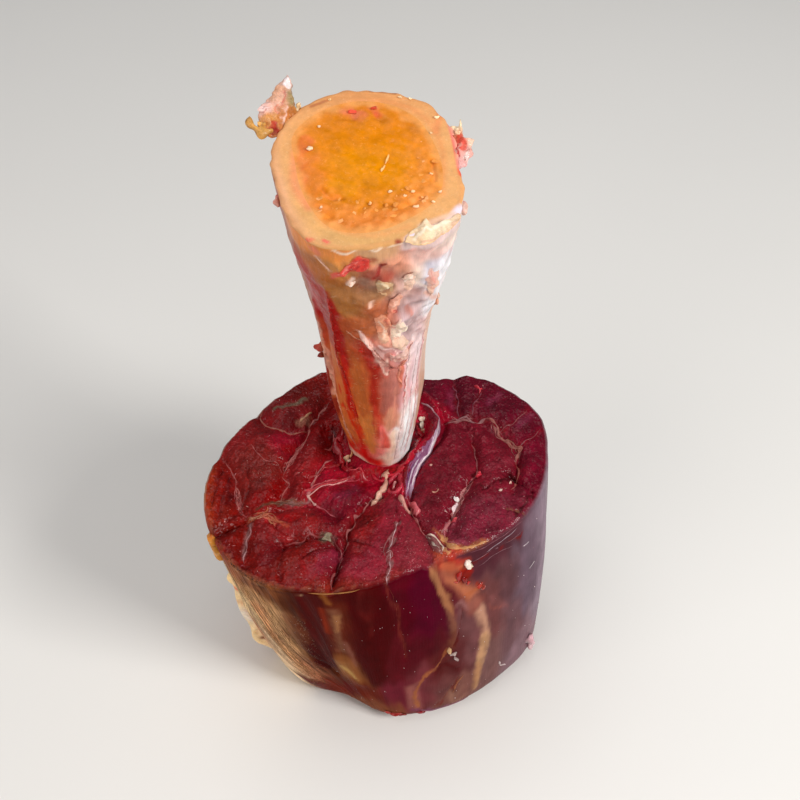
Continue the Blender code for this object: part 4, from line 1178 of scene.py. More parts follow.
# Marrow: soft fat, orange and yellow, smeared by the saw, with small curds that catch light
marrow_fat = tissue("marrow_fat", (0.06, 0.06, 1.5), ("#F8B070", 1.1, 0.18),
                    rough=0.3, bend=1.1, wet=0.14, relief=0.12, glow=0.08)
# Fat: cream, greasy, in soft lobules
raw_fat = tissue("raw_fat", (0.08, 0.1, 1.4), ("#F8E6CC", 1.0, 0.2),
                 rough=0.4, bend=1.2, wet=0.2, relief=0.35, glow=0.08)
# Gristle: dense, wet and slightly glassy, cream to pink
gristle = tissue("gristle", (0.1, 0.12, 1.0), ("#F5E2D8", 0.9, 0.2),
                 rough=0.3, bend=1.25, wet=0.3, relief=0.35, glow=0.08)
# Sinew and membrane edges: thin pale strands with a silky shine
sinew = tissue("sinew", (0.1, 0.12, 0.8), ("#F2E4DE", 0.6, 0.12),
               rough=0.3, bend=1.25, wet=0.3, relief=0.25)
# Clotted blood: dark red and mirror wet
clot = tissue("clotted_blood", (0.12, 0.1, 1.2), ("#C01818", 0.9, 0.1),
              rough=0.2, bend=1.3, wet=0.5, relief=0.3)


# Meat


def cut_tones(x, y):
    """Tone of the upper cut at plan places."""
    place = np.stack([x, y], axis=-1)
    x = x + 0.5 * ripple(place, 2.6, 31)
    y = y + 0.5 * ripple(place, 2.6, 32)
    colour = fields(x, y, CUT_FIELDS, 2.4)
    colour *= 1 + 0.1 * ripple(place, 7.0, 33)[:, None] + 0.05 * ripple(place, 2.0, 34)[:, None]
    # Painted shade: a soft dark halo beside every seam strand, for the depth of the crevices.
    colour = paint(colour, x, y, [("deep", 0.8, 2.6, 0.4, path) for _, _, _, path in SEAM_STRANDS])
    colour = paint(colour, x, y, CUT_STROKES)
    edge = plan_ring(RIM, np.radians(np.linspace(196, 262, 24)))
    skin_lines = [("#7E4632", 0.5, 1.2, 0.6, edge * 0.982), ("dark", 0.3, 1.0, 0.5, edge * 0.965)]
    return paint(colour, x, y, skin_lines)


def wall_tones(u, v):
    """Tone of the wall at places laid flat."""
    degrees = 270 + np.degrees(u / WALL_ROUND)
    grain = wall_fibres(degrees, v)
    left = bell((degrees - 228) / 22, 1)
    back = ease((np.abs(degrees - 270) - 74) / 36)
    u = u + 0.8 * ripple(grain * (1, 1, 4), 5.0, 35) + 0.25 * ripple(grain * (1, 1, 8), 1.4, 38)
    u = u + 3.0 * back * ripple(grain * (1, 1, 8), 16.0, 41)
    v = v + (2.2 - left) * ease((136 - v) / 22) * ripple(grain * (1, 1, 4), 4.0, 39)
    colour = fields(u, v, laid_flat(WALL_FIELDS, unroll), 2.7 + 2 * back)
    colour = paint(colour, u, v, WALL_STROKES, unroll)
    colour *= 1 + (0.01 + 0.09 * left)[:, None] * ripple(grain, 1.8, 36)[:, None]
    clouds = (1 - left) * 0.05 * ripple(np.stack([u, v], axis=-1), 8.0, 40)
    return colour * (1 + (0.03 + 0.05 * left) * ripple(grain, 4.0, 37) + clouds)[:, None]


def make_meat():
    """Rings: up the bore, out over the upper cut, down the wall, and back in under the foot."""
    angles = column_angles(RIM, MEAT_COLUMNS)
    rim = plan_ring(RIM, angles)
    rim *= 1 - RIM_CHAMFER / np.hypot(*rim.T)[:, None]
    foot = wall_point(angles, np.zeros(MEAT_COLUMNS))
    bone_foot = bone_axis(-CUT_HEIGHT)[0]
    turn_top = np.arctan2(rim[:, 1] - BONE_AT_CUT[1], rim[:, 0] - BONE_AT_CUT[0])
    turn_foot = np.arctan2(foot[:, 1] - bone_foot[1], foot[:, 0] - bone_foot[0])
    turn_foot = turn_top + np.mod(turn_foot - turn_top + math.pi, 2 * math.pi) - math.pi

    def bore_ring(share, along):
        """Ring of the bore this far along the bone. Its angles turn from the foot's to the top's."""
        turn = turn_foot + (turn_top - turn_foot) * share
        return along_bone(turn, along, bone_radius(turn, along) + BORE_CLEAR)

    top = np.zeros(MEAT_COLUMNS)
    for _ in range(4):
        edge = bore_ring(1.0, top)
        top += cut_height(edge[:, 0], edge[:, 1]) - edge[:, 2]
    rings = []
    for share in 1 - (1 - np.arange(BORE_RINGS + 1) / BORE_RINGS) ** 1.5:
        rings.append(bore_ring(share, -CUT_HEIGHT + (top + CUT_HEIGHT) * share))
    inner = rings[-1][:, :2]
    for share in np.arange(1, CUT_RINGS + 1) / CUT_RINGS:
        x, y = (inner + (rim - inner) * share).T
        rings.append(cut_point(x, y))
    cut_rings = len(rings)
    wall_top = rings[-1][:, 2] - RIM_CHAMFER
    for share in np.arange(WALL_RINGS + 1) / WALL_RINGS:
        rings.append(wall_point(angles, wall_top + (FOOT_TURN_HEIGHT - wall_top) * share))
    for height in FOOT_RING_HEIGHTS:
        rings.append(wall_point(angles, np.full(MEAT_COLUMNS, height)))
    wall_rings = len(rings)
    outer, under = rings[-1], rings[0]
    under[:, 2] = 0
    for share in np.arange(1, UNDER_RINGS) / UNDER_RINGS:
        rings.append(outer + (under - outer) * share)
    rings = np.array(rings)

    points = rings.reshape(-1, 3)
    on_cut = np.zeros(rings.shape[:2], bool)
    on_cut[:cut_rings] = True
    on_cut[wall_rings:] = True
    on_cut = on_cut.ravel()
    colour = np.zeros(points.shape)
    x, y, _ = points[on_cut].T
    colour[on_cut] = cut_tones(x, y)
    wall = ~on_cut
    degrees = np.degrees(np.arctan2(points[wall, 1], points[wall, 0]))
    height = points[wall, 2]
    colour[wall] = wall_tones(*unroll(degrees, height))
    grains = points.copy()
    grains[wall] = wall_fibres(degrees, height)
    finish_of = np.zeros(rings.shape[:2])
    finish_of[cut_rings:wall_rings] = 1
    fibrous = np.ones(len(points))
    fibrous[wall] = 0.06 + 4.4 * bell((np.mod(degrees, 360) - fibre_lean(height) * 0.8 - 221) / 13, 1)
    return piece("cut_of_meat", [(rings, False, colour.reshape(rings.shape))], (raw_muscle, silver_skin),
                 "meat", grains, finish_of.ravel(), fibrous)


make_meat()


# Bone and marrow


def bone_tones(u, v):
    """Tone of the bone's side at places laid flat."""
    half = smooth_curve(BONE_HALF_WIDTH, v)
    place = np.stack([half * np.sin(u / half), -half * np.cos(u / half), v], axis=-1)
    u = u + 0.35 * ripple(place * (1, 1, 0.4), 2.4, 44)
    streaks = 0.7 + 3.0 * ease((130 - v) / 30) * ease((v - 6) / 24)
    back = ease((np.abs(np.degrees(u / half)) - 74) / 36)
    u = u + 1.2 * back * ripple(place * (1, 1, 0.4), 8.0, 48)
    v = v + streaks * ripple(place * (1, 1, 0.25), 3.0, 45)
    colour = fields(u, v, laid_flat(BONE_FIELDS, bone_unroll), 1.9 + 1.5 * back)
    colour = paint(colour, u, v, BONE_STROKES, bone_unroll)
    # Painted light and shade: the membrane's rumples are lightened on their rises and darkened in their
    # dips, following the same waves as their relief.
    folds = 0.07 * ripple(place, 5.5, 23) + 0.09 * ripple(place, 2.3, 24)
    colour = colour * (1 + membrane(270 + np.degrees(u / half), v) * folds)[:, None]
    fine = 0.03 * ripple(place * (1, 1, 0.1), 1.2, 46) + 0.04 * ripple(place, 5.0, 47)
    return colour * (1 + fine)[:, None]


GROUND = {cut_point: cut_tones, on_wall: wall_tones, on_bone: bone_tones}


def make_bone():
    """Rings: up the outside, in over the sawn end, and down the canal to the lower cut."""
    angles = np.arange(BONE_COLUMNS) / BONE_COLUMNS * 2 * math.pi
    ones = np.ones(BONE_COLUMNS)
    rings, sawn = [], []
    for share in np.arange(BONE_RINGS_INSIDE) / BONE_RINGS_INSIDE:
        rings.append(bone_side(angles, (-CUT_HEIGHT + (CUT_HEIGHT + BONE_BARE_FROM) * share) * ones))
    for along in np.linspace(BONE_BARE_FROM, BONE_LENGTH - 1.4, BONE_RINGS_BARE):
        rings.append(bone_side(angles, along * ones))
    side_rings = len(rings)
    ragged = ripple(np.stack([30 * np.cos(angles), 30 * np.sin(angles)], -1), 3.0, 41)
    outer = bone_radius(angles, BONE_LENGTH * ones)
    canal = canal_radius(angles, BONE_LENGTH * ones)
    for inset, drop in ((0.1, 0.6), (0.5, 0.1)):
        rings.append(along_bone(angles, BONE_LENGTH * ones, outer - inset + 0.25 * ragged, -drop * ones))
    for share in np.arange(1, SAWN_RINGS + 1) / SAWN_RINGS:
        radius = outer - 1.2 + (canal - outer + 1.2) * share
        place = np.stack([radius * np.cos(angles), radius * np.sin(angles)], -1)
        lift = 0.1 * ripple(place, 5.0, 42) + 0.03 * ripple(place, 1.4, 43)
        lift *= ease(share * 6) * ease(4 - 4 * share)
        rings.append(along_bone(angles, BONE_LENGTH * ones, radius, lift))
    sawn_end = len(rings)
    for along in np.linspace(BONE_LENGTH, -CUT_HEIGHT, CANAL_RINGS + 1)[1:]:
        rings.append(along_bone(angles, along * ones, canal_radius(angles, along)))
    rings = np.array(rings)
    flat = rings.reshape(-1, 3)
    turn = np.tile(angles, len(rings))
    centre, up = bone_axis(np.array([BONE_LENGTH]))
    straight = (flat - centre[0]) @ up[0] + BONE_LENGTH
    along = np.where(flat[:, 2] > CUT_HEIGHT - 20, straight, flat[:, 2] - CUT_HEIGHT)
    degrees = np.degrees(turn)
    radius = bone_radius(turn, along)
    place = np.stack([radius * np.cos(turn), radius * np.sin(turn), along], axis=-1)
    side = bone_tones(*bone_unroll(degrees, along))

    sawn_shape = rings[side_rings:sawn_end]
    share = np.linspace(0, 1, len(sawn_shape))[:, None] * np.ones(BONE_COLUMNS)
    across = sawn_shape - centre[0]
    spot = np.stack([across[..., 0], across @ np.array([0, up[0, 2], -up[0, 1]])], axis=-1)
    clouds = ripple(spot, 6.0, 48)
    turned = np.degrees(angles)[None, :]
    ring_tone = mixed(tone("#D89E64"), "#C99A5E", 0.8 * bell((turned - 262) / 40, 1))
    ring_tone = mixed(ring_tone, "#CC8650", 0.7 * bell((turned - 95) / 45, 1))
    ring_tone = mixed(ring_tone, "#DC9450", 0.8 * ease((share + 0.06 * clouds - 0.7) / 0.5))
    ring_tone = mixed(ring_tone, "#E0A88C", 0.5 * bell((turned - 200) / 40, 1) * (1 - ease(share * 1.6)))
    ring_tone = mixed(ring_tone, "#C88A58", 0.4 * bell((share - 0.05) / 0.07, 1))
    x, y = spot[..., 0].ravel(), spot[..., 1].ravel()
    ring_tone = paint(ring_tone.reshape(-1, 3), x, y, RING_STROKES).reshape(ring_tone.shape)
    ring_tone = ring_tone * (1 + 0.02 * clouds + 0.02 * ripple(spot, 1.5, 49))[..., None]
    colour = side.reshape(rings.shape)
    colour[side_rings:sawn_end] = ring_tone
    colour[sawn_end:] = tone("#D88A4C")
    grain = place * (1, 1, 0.12)
    finish_of = np.zeros(rings.shape[:2])
    finish_of[side_rings - 1:sawn_end] = 1
    return piece("shin_bone", [(rings, False, colour)], (shin_bone, sawn_bone), "bone",
                 grain, finish_of.ravel())


def curdled(x, y):
    """How curdled the marrow's face is: most in a broad band by the canal, at the front and right."""
    away = np.degrees(np.arctan2(y, x) - math.radians(-60))
    away = np.mod(away + 180, 360) - 180
    return ease((np.hypot(x, y) - 9) / 8) * bell(away / 95, 1)


MARROW_PITS = (  # half width, depth, path
    (1, 0.9, "-15,-8 -12,-12 -8,-12"),
    (1, 1, "-18,-17 -17,-22 -12,-20"),
    (1, 0.8, "6,-15 12,-16 18,-12"),
    (0.9, 0.8, "22,4 23,-4"),
    (1.1, 0.8, "3,24 5,23"),
    (1, 0.7, "-10,24 -5,23.5"),
)


def marrow_face(x, y):
    """Height of the marrow's sawn face against the bone's: curds and pits left by the saw."""
    place = np.stack([x, y], axis=-1)
    height = 0.1 * ripple(place, 5.0, 51) + (0.03 + 0.06 * curdled(x, y)) * ripple(place, 1.9, 52)
    return height - raised_along(x, y, MARROW_PITS, 3.0)


def marrow_tones(x, y):
    """Tone of the marrow at the sawn end's own places. It turns to the bone's tone at the canal."""
    spot = np.stack([x, y], axis=-1)
    x = x + 0.8 * ripple(spot, 3.0, 54)
    y = y + 0.8 * ripple(spot, 3.0, 55)
    colour = paint(fields(x, y, MARROW_FIELDS, 3.0), x, y, MARROW_STROKES)
    radius_share = np.hypot(*spot.T) / canal_radius(np.arctan2(spot[:, 1], spot[:, 0]), BONE_LENGTH)
    edge = ease((radius_share + 0.03 * ripple(spot, 3.0, 56) - 0.84) / 0.18)
    colour = mixed(colour, "#DC9450", 0.9 * edge)
    lift = curdled(*spot.T) * np.clip(ripple(spot, 1.9, 52), -0.6, 1.6)
    colour = mixed(colour, "#F4A868", 0.15 * np.clip(lift, 0, 1))
    colour = mixed(colour, "#D8AC7C", ease((radius_share - 1) / 0.08))
    return colour * (1 + 0.02 * ripple(spot, 1.8, 57) + 0.03 * ripple(spot, 3.6, 58) + 0.03 * lift)[:, None]


def make_marrow():
    """A plug that fills the canal, with a finely uneven sawn face."""
    angles = np.arange(MARROW_COLUMNS) / MARROW_COLUMNS * 2 * math.pi
    ones = np.ones(MARROW_COLUMNS)
    reach = canal_radius(angles, BONE_LENGTH * ones)
    rings = []
    for along in np.linspace(-CUT_HEIGHT + 0.5, BONE_LENGTH - 0.1, MARROW_SIDE_RINGS):
        rings.append(along_bone(angles, along * ones, canal_radius(angles, along)))
    for share in 1 - (np.arange(MARROW_RINGS) / MARROW_RINGS) ** 0.9:
        radius = reach * share
        x, y = radius * np.cos(angles), radius * np.sin(angles)
        lift = marrow_face(x, y) * ease((1 - share) * 8)
        rings.append(along_bone(angles, BONE_LENGTH * ones, radius, lift))
    rings = np.array(rings)
    centre, up = bone_axis(np.array([BONE_LENGTH]))
    flat = rings.reshape(-1, 3) - centre[0]
    colour = marrow_tones(flat[:, 0], flat @ np.array([0, up[0, 2], -up[0, 1]])).reshape(rings.shape)
    return piece("marrow_plug", [(rings, True, colour)], (marrow_fat,), "marrow")


GROUND[on_sawn_end] = marrow_tones
make_bone()
make_marrow()


# Strands and lumps


def grounded(surface, u, v, colour, share):
    """The colour with this share of the surface's own tone: a detail grows out of what it lies on."""
    if surface not in GROUND:
        return colour
    return mixed(colour, GROUND[surface](np.ravel(u), np.ravel(v)).reshape(colour.shape), share)


def strand(surface, name, half_width, height, path, seed, wander=0.15, step=0.6, sides=8, uneven=0.3):
    """A low closed tube on a surface along a path, thinning to both ends. The surface takes flat places.

    half_width: a number, or (share of the length, half width) pairs.
    """
    line = flow(path, step)
    run = np.linspace(0, len(line) * step, len(line))[:, None]
    line = line + wander * np.stack([ripple(run, 5.0, seed), ripple(run, 5.0, seed + 1)], axis=-1)
    way = unit(np.gradient(line, axis=0))
    share = np.linspace(0, 1, len(line))
    thin = np.clip(np.minimum(share, 1 - share) / 0.12, 0.02, 1) ** 0.6
    width = half_width if np.isscalar(half_width) else smooth_curve(half_width, share)
    width = width * thin * np.clip(1 + uneven * ripple(run, 3.0, seed + 2), 0.3, 2)
    turn = np.arange(sides) / sides * 2 * math.pi
    side = width[:, None] * np.cos(turn)
    rise = np.where(np.sin(turn) < 0, 0.4, 1.0) * np.sin(turn)
    u, v = line[:, :1] - way[:, 1:] * side, line[:, 1:] + way[:, :1] * side
    rings = surface(u, v, height * thin[:, None] * rise)
    colour = tone(name) * (1 + 0.1 * ripple(rings, 2.0, seed + 3))[..., None]
    return rings, True, grounded(surface, u, v, colour, 1 - 0.72 * thin[:, None] + 0 * side)


def lumps(surface, places, seed, rough=0.15, rings=9, sides=12):
    """Closed lumps on a surface: ellipsoids, dented at random and half sunk.

    places: flat place, half length, half width, height, turn in degrees, and tone of each.
    """
    values = np.array([row[:6] for row in places], float)
    u, v, length, width, height, turned = values.T[..., None, None]
    rise = np.linspace(-0.45, 0.47, rings)[None, :, None] * math.pi
    turn = (np.arange(sides) / sides * 2 * math.pi)[None, None, :]
    level, upright = np.cos(rise), np.sin(rise)
    ball = np.stack([level * np.cos(turn), level * np.sin(turn), upright + 0 * turn], axis=-1)
    own = np.arange(len(places))[:, None, None, None] * 7.0
    dent = 1 + rough * ripple(ball + own, 0.8, seed)
    way = np.radians(turned)
    along, across = ball[..., 0] * dent * length, ball[..., 1] * dent * width
    u = u + along * np.cos(way) - across * np.sin(way)
    v = v + along * np.sin(way) + across * np.cos(way)
    made = surface(u, v, (ball[..., 2] + 0.3) * dent * height)
    colour = np.array([tone(row[6]) for row in places])[:, None, None, :] * np.ones((*u.shape, 1))
    colour = colour * (1 + 0.1 * ripple(made, 1.5, seed + 1))[..., None]
    colour = grounded(surface, u, v, colour, 0.15 + 0.6 * ease(0.5 - ball[..., 2]) + 0 * u)
    return [(made[at], True, colour[at]) for at in range(len(places))]


def bundle(surface, names, count, half_width, height, path, spread, seed):
    """Short strands side by side along a path, each drawn off it at random."""
    draw = np.random.default_rng(seed)
    line = flow(path, 1.5)
    made = []
    for at in range(count):
        half = draw.uniform(0.15, 0.4)
        middle = draw.uniform(half, 1 - half)
        first, last = (np.array([middle - half, middle + half]) * (len(line) - 1)).astype(int)
        if last - first < 3:
            continue
        wide, tall = half_width * draw.uniform(0.6, 1.3), height * draw.uniform(0.6, 1.4)
        stretch = line[first:last + 1] + draw.normal(0, spread, 2)
        made.append(strand(surface, names[at % len(names)], wide, tall, stretch, seed + 7 * at, 0.6))
    return made


def laid(surface, rows, spread=None, seed=100, wander=0.15, uneven=0.3):
    """Strands from rows of tone, half width, height and path."""
    return [strand(surface, *row, seed + 5 * at, wander, uneven=uneven)
            for at, row in enumerate(laid_flat(rows, spread))]


# Tags and flap


def ragged_sheet(root, way, face, reach, thickness, bow, seed):
    """Rings of a torn sheet: each runs out along one face to the free edge and back along the other.

    The middle is the root plus way times reach, bowed towards one face by a parabola and ruffled.
    """
    turn = np.linspace(0, math.pi, 29)
    out = np.sin(turn) ** 0.9
    half = np.cos(turn) * (0.5 - 0.16 * np.sin(turn)) * thickness
    spine = root[:, None, :] + way[:, None, :] * (reach[:, None] * out)[..., None]
    ruffle = 0.4 * ripple(spine, 5.0, seed) + 0.08 * ripple(spine, 1.6, seed + 1)
    shift = bow * out**2 + ruffle * out + half[None, :] * (1 + 0.15 * ripple(spine, 2.0, seed + 2))
    return spine + face[:, None, :] * shift[..., None], out


def tag_plane(degrees, rise, thickness):
    """Surface of the plane in which a tag lies: places run along the rim, and out from the bone."""
    angle = np.radians(np.array([degrees]))
    along = np.array([BONE_LENGTH - thickness / 2])
    middle = along_bone(angle, along, bone_radius(angle, along))[0]
    centre, up = bone_axis(along)
    rim = (along_bone(angle + math.pi / 2, along, np.ones(1)) - centre)[0]
    out = unit((along_bone(angle, along, np.ones(1)) - centre)[0] + rise * up[0])
    face = unit(np.cross(out, rim))

    def surface(a, b, lift=0.0):
        """Point of the plane at a along the rim and b out, lifted off it."""
        lift = np.asarray(lift) + 0 * a
        return middle + a[..., None] * rim + b[..., None] * out + lift[..., None] * face
    return surface


def pad(surface, outline, thickness, tones, strokes, seed, rough=1.0):
    """A closed torn pad over a smooth outline: the outline shrinks to a point on each face."""
    corners = path_points(outline)
    edge = flow([*corners, corners[0]], 0.4)[:-1]
    edge = edge + 0.12 * rough * ripple(edge, 1.2, seed)[:, None]
    centre = edge.mean(axis=0)
    turn = np.sin(np.linspace(-0.5, 0.5, 57) * math.pi) * 0.496 * math.pi
    flat = centre + (edge[None] - centre) * (np.cos(turn) ** 0.6)[:, None, None]
    far = np.linalg.norm(flat - centre, axis=-1)
    swell = rough * (0.4 * ripple(flat, 3.2, seed + 1) + 0.16 * ripple(flat, 1.3, seed + 2))
    lift = np.sin(turn)[:, None] * thickness / 2 * (1.2 - 0.7 * far / far.max()) + swell
    a, b = flat[..., 0].ravel(), flat[..., 1].ravel()
    place = np.stack([a, b], axis=-1)
    a, b = a + 0.4 * ripple(place, 2.0, seed + 3), b + 0.4 * ripple(place, 2.0, seed + 4)
    colour = paint(fields(a, b, tones, 1.0), a, b, strokes).reshape(*lift.shape, 3)
    colour = grounded(surface, flat[..., 0], flat[..., 1], colour,
                      0.1 + 0.8 * ease(1 - np.sin(turn) * 1.6)[:, None] + 0 * lift)
    return surface(flat[..., 0], flat[..., 1], lift), True, colour


SPIKE_OUTLINE = (
    "-10.8,13 -9.6,9.6 -7.4,6.5 -5.3,2.7 -4.4,0.3 1.4,-0.9 9,-1.4 10.6,0.3 9.8,3.6 9.4,6.2 7.6,8.5 "
    "5,10.1 0.6,10.8 -5.6,12.5"
)
SPIKE_TONES = (
    ("#D8B0A4", 1, "-9.6,11.6 -7.6,10.4"),
    ("#D29C7C", 2, "-4,11 0,9.8"),
    ("#D4A48C", 2, "-3,8.4 1,7"),
    ("#9C8458", 2, "-6.6,6.6 -4.4,3.4"),
    ("#BC6E2C", 2, "-1.6,2.2 2,1.8"),
    ("#DCAEA4", 2, "3,9 6.6,8"),
    ("#CC8C48", 2, "7.4,5.6 5,4.4"),
    ("#BE7440", 2, "8.6,1.4 5,0.6"),
)
SPIKE_STROKES = (
    # Painted highlight: the near-white spot at the spike's tip.
    ("#F4E4E4", 0.9, 1, 0.9, "-8.8,11.2 -7.8,9.8"),
    ("#8E7E78", 0.6, 1.2, 0.7, "-9.4,9 -7.8,7.4"),
    ("#A03424", 0.5, 0.8, 0.9, "-6.4,4.6 -4.6,3 -4.4,1.6"),
    ("#B85C4C", 0.4, 1, 0.8, "-5,9.4 -2.6,6.6 0.4,5"),
    ("#C8684C", 0.5, 1, 0.7, "1.4,6.4 2.4,4.6"),
    ("#E8C0B0", 0.5, 0.8, 0.8, "-1.4,4.4 1.4,2.6 3.4,0.8"),
    ("#8E1C14", 0.9, 1, 0.95, "7.2,1.6 8.2,-0.2"),
    ("#B83828", 0.6, 1, 0.9, "6,3.2 6.8,1.8"),
)
SPIKE_HOOK = (
    ("#C08C48", ((0, 1.5), (0.6, 1.7), (1, 0.9)), 1.4, "7.4,0.6 10.4,2.2 12.6,4.8 12.8,7.8 10.7,9.6"),
)
SPIKE_BUMPS = (
    (5.4, 8.6, 1.8, 1.4, 1.4, 20, "#E4BCB4"), (-5.6, 1.8, 1.1, 0.9, 1.2, 0, "#E8C090"),
    (-3.9, 1.0, 0.9, 0.8, 1.0, 0, "#E8C8A0"), (9.4, 4.4, 1.6, 1.4, 1.3, 30, "#D09850"),
    (0.4, 5.6, 1.4, 0.8, 0.9, 60, "#D8A070"),
)
RIM_OUTLINE = (
    "11.6,0.6 11.4,2.4 10.4,3.3 13.2,5.1 9.8,4.7 5.7,3.7 3.4,4.3 2.3,6.7 0.2,4.9 -3.5,4.3 -4.3,2.3 "
    "-6.5,0.4 -7,-1.2 -2.9,-1.4 2.6,-1.2 7.8,-0.8"
)
RIM_TONES = (
    ("#E8CCA8", 2, "12,3 9,2"),
    ("#CC5A3C", 2, "6.4,1.4 3.6,1.8"),
    ("#E0C0A8", 1, "2.6,5.4 2,4"),
    ("#DC9C90", 2, "1,1.4 -3,1.6"),
    ("#DCA8A4", 2, "-5,0.4 -6.4,-0.6"),
)
RIM_STROKES = (
    ("#B82820", 0.5, 0.8, 0.95, "10.6,-0.6 6,-0.4 2,0.2 -2,-0.4"),
    ("#D8402C", 0.9, 1.2, 0.8, "5.6,2.4 3,2.6 0,2.4"),
    ("#F4E4D8", 0.4, 0.8, 0.8, "-2.4,3.2 -4,1.4"),
)
RIM_BUMPS = ((7.6, 2.6, 1.2, 0.9, 1.0, 0, "#E8B894"), (1.2, 3, 1.2, 0.8, 0.9, 30, "#E07860"),
             (-3.4, 2.2, 1.3, 0.9, 0.9, 0, "#ECC8C0"))


def make_tags():
    """Torn gristle at the sawn end: the tall spike with its hook on the left, the shred on the right."""
    plane = tag_plane(GRISTLE_ANGLE, GRISTLE_RISE, GRISTLE_THICKNESS)
    parts = [pad(plane, SPIKE_OUTLINE, GRISTLE_THICKNESS, SPIKE_TONES, SPIKE_STROKES, 62)]
    parts += laid(plane, SPIKE_HOOK, seed=72) + lumps(plane, SPIKE_BUMPS, 76, 0.25)
    piece("gristle_spike", parts, (gristle,), "gristle_tag")
    plane = tag_plane(RIM_TAG_ANGLE, RIM_TAG_RISE, RIM_TAG_THICKNESS)
    parts = [pad(plane, RIM_OUTLINE, RIM_TAG_THICKNESS, RIM_TONES, RIM_STROKES, 82)]
    piece("rim_shred", parts + lumps(plane, RIM_BUMPS, 88, 0.25), (gristle,), "rim_tag")


FLAP_EDGE = (  # share of the length down the flap, and how far it stands out there
    (0, 0.2), (0.1, 0.6), (0.17, 4.2), (0.26, 3), (0.4, 4.8), (0.56, 6), (0.7, 5.4), (0.86, 7.2), (1, 3),
)


def flap_tone(share, out, rings):
    """Tone of the flap by its share of the length and how far out it lies."""
    colour = mixed(np.broadcast_to(tone("#F4D29C"), rings.shape), "#E6BC98", ease(0.8 - out))
    colour = mixed(colour, "#EADBCB", bell((share - 0.56) / 0.1, 1) * 0.8)
    colour = mixed(colour, "#D85A34", bell(np.hypot((share - 0.27) / 0.025, (out - 0.6) / 0.5), 1))
    colour = mixed(colour, "#D89A70", 0.5 * bell((share - 0.42) / 0.02, 1))
    return mixed(colour, "#7A4028", bell(np.hypot((share - 0.84) / 0.02, (out - 0.3) / 0.3), 1))


def make_flap():
    """The flap of fat that stands out from the wall, along a line that runs down its left side."""
    share = np.linspace(0, 1, 120)
    (top_angle, top_height), (low_angle, low_height) = FLAP_ROOT
    angles = np.radians(top_angle + (low_angle - top_angle) * share)
    height = top_height + (low_height - top_height) * share
    root = wall_point(angles, height, -0.6)
    way = unit(wall_point(angles, height, 1.0) - wall_point(angles, height))
    face = unit(np.cross(np.gradient(root, axis=0), way))
    reach = smooth_curve(FLAP_EDGE, share)
    rings, out = ragged_sheet(root, way, face, reach, FLAP_THICKNESS, 0.8, 71)
    colour = flap_tone(share[:, None] * np.ones(len(out)), np.ones(len(share))[:, None] * out, rings)
    return piece("flap_of_fat", [(rings, True, colour)], (raw_fat,), "fat_flap")


# Seams, sinews and crumbs


SEAM_BUNDLES = (  # tones, count, half width, spread and path
    (("#A05E44", "#B67C5C", "#7E4034", "#C89478"), 14, 0.2, 0.7,
     "-62.1,-29 -61,-27.4 -57,-26.8 -54,-26.4 -52.5,-24.5 -52,-22.4"),
    (("#6E4A3C", "#7E5A48", "#5A382E"), 7, 0.18, 0.7,
     "-51,-20 -46.7,-17.4 -42.7,-17.9 -38.1,-17.8 -33.5,-16.6"),
    (("#B46A48", "#C88C64", "#A0543C"), 11, 0.18, 0.5, "-53.6,-27 -50.2,-28.7 -46.6,-30.8 -43.4,-32.9"),
    (("#A05A56", "#8E4446", "#B87068"), 8, 0.2, 0.5, "-69,-8 -67.3,-13.7 -64.9,-20.4 -62.6,-24.6"),
    (("#9A5450", "#B0706A"), 7, 0.2, 0.5, "-37,20 -41,12 -44,6 -46.6,0 -46,-6"),
    (("#8A5858", "#7A484C", "#A07470"), 8, 0.2, 0.5, "31,30 37,31.6 43,31.6 49,30.4"),
    (("#8E5A52", "#A87060"), 7, 0.2, 0.5, "53,29 57,21 61,17 65,12.6 64,4"),
    (("#A86A68", "#C08480", "#8E4A50"), 8, 0.2, 0.4, "43,-4 39,-11 35.6,-18 33,-24 30,-31"),
    (("#A82840", "#C04858", "#8A1830"), 12, 0.25, 0.8,
     "-38,-14.8 -33.8,-10.3 -28,-9.2 -22,-6.3 -15.4,-2.5 -8,-0.9"),
)
# Along the fold, the near-white strands are painted highlights on its crest, and the lilac ones are the
# silver skin's grey-violet with the sky's reflection painted in.
FOLD_STRANDS = (
    ("#6E1226", ((0, 1.2), (0.2, 2), (0.45, 1.6), (1, 1)), 0.5,
     "18.4,40 22,36 24.6,30.5 26,24 24,15.7 19.2,9 14.8,3 12,-3 11.2,-10 10.6,-19"),
    ("#A88AA0", 0.3, 0.7, "20.6,38.3 24.6,33.5 27.3,27 26.9,19.8 23.5,13.8 20.2,9.2 15.4,1.6"),
    ("#7C5A7C", ((0, 0.6), (0.3, 1.8), (0.7, 2.1), (1, 1.1)), 0.8,
     "25,19 21.6,11.6 17.4,5.4 14.1,-1.4 12.5,-9 11.2,-17"),
    ("#B8A4BC", 0.7, 1.1, "27,25 25.4,18 22.4,11 18.2,4.4 15.2,-2 13.8,-9.4 12.4,-16"),
    ("#F0E8EE", 0.34, 1.5, "27.2,27.4 26,18.6 22,10 17.4,3 14.9,-4 13.2,-12"),
    ("#E0D2E2", 0.28, 1.3, "18,6.6 14.6,-0.2 12.8,-8 11.6,-15"),
    ("#D8B8C4", 0.26, 0.9, "18.2,39.6 22,36.6 25,32.8 27.2,27.4"),
    ("#5E4672", 0.35, 0.8, "19.6,9.6 15.6,3 12.8,-4.4 11.4,-12"),
    ("#C4203C", 0.5, 0.8, "9.2,1 9.2,-7 9.4,-14 9.6,-19"),
)
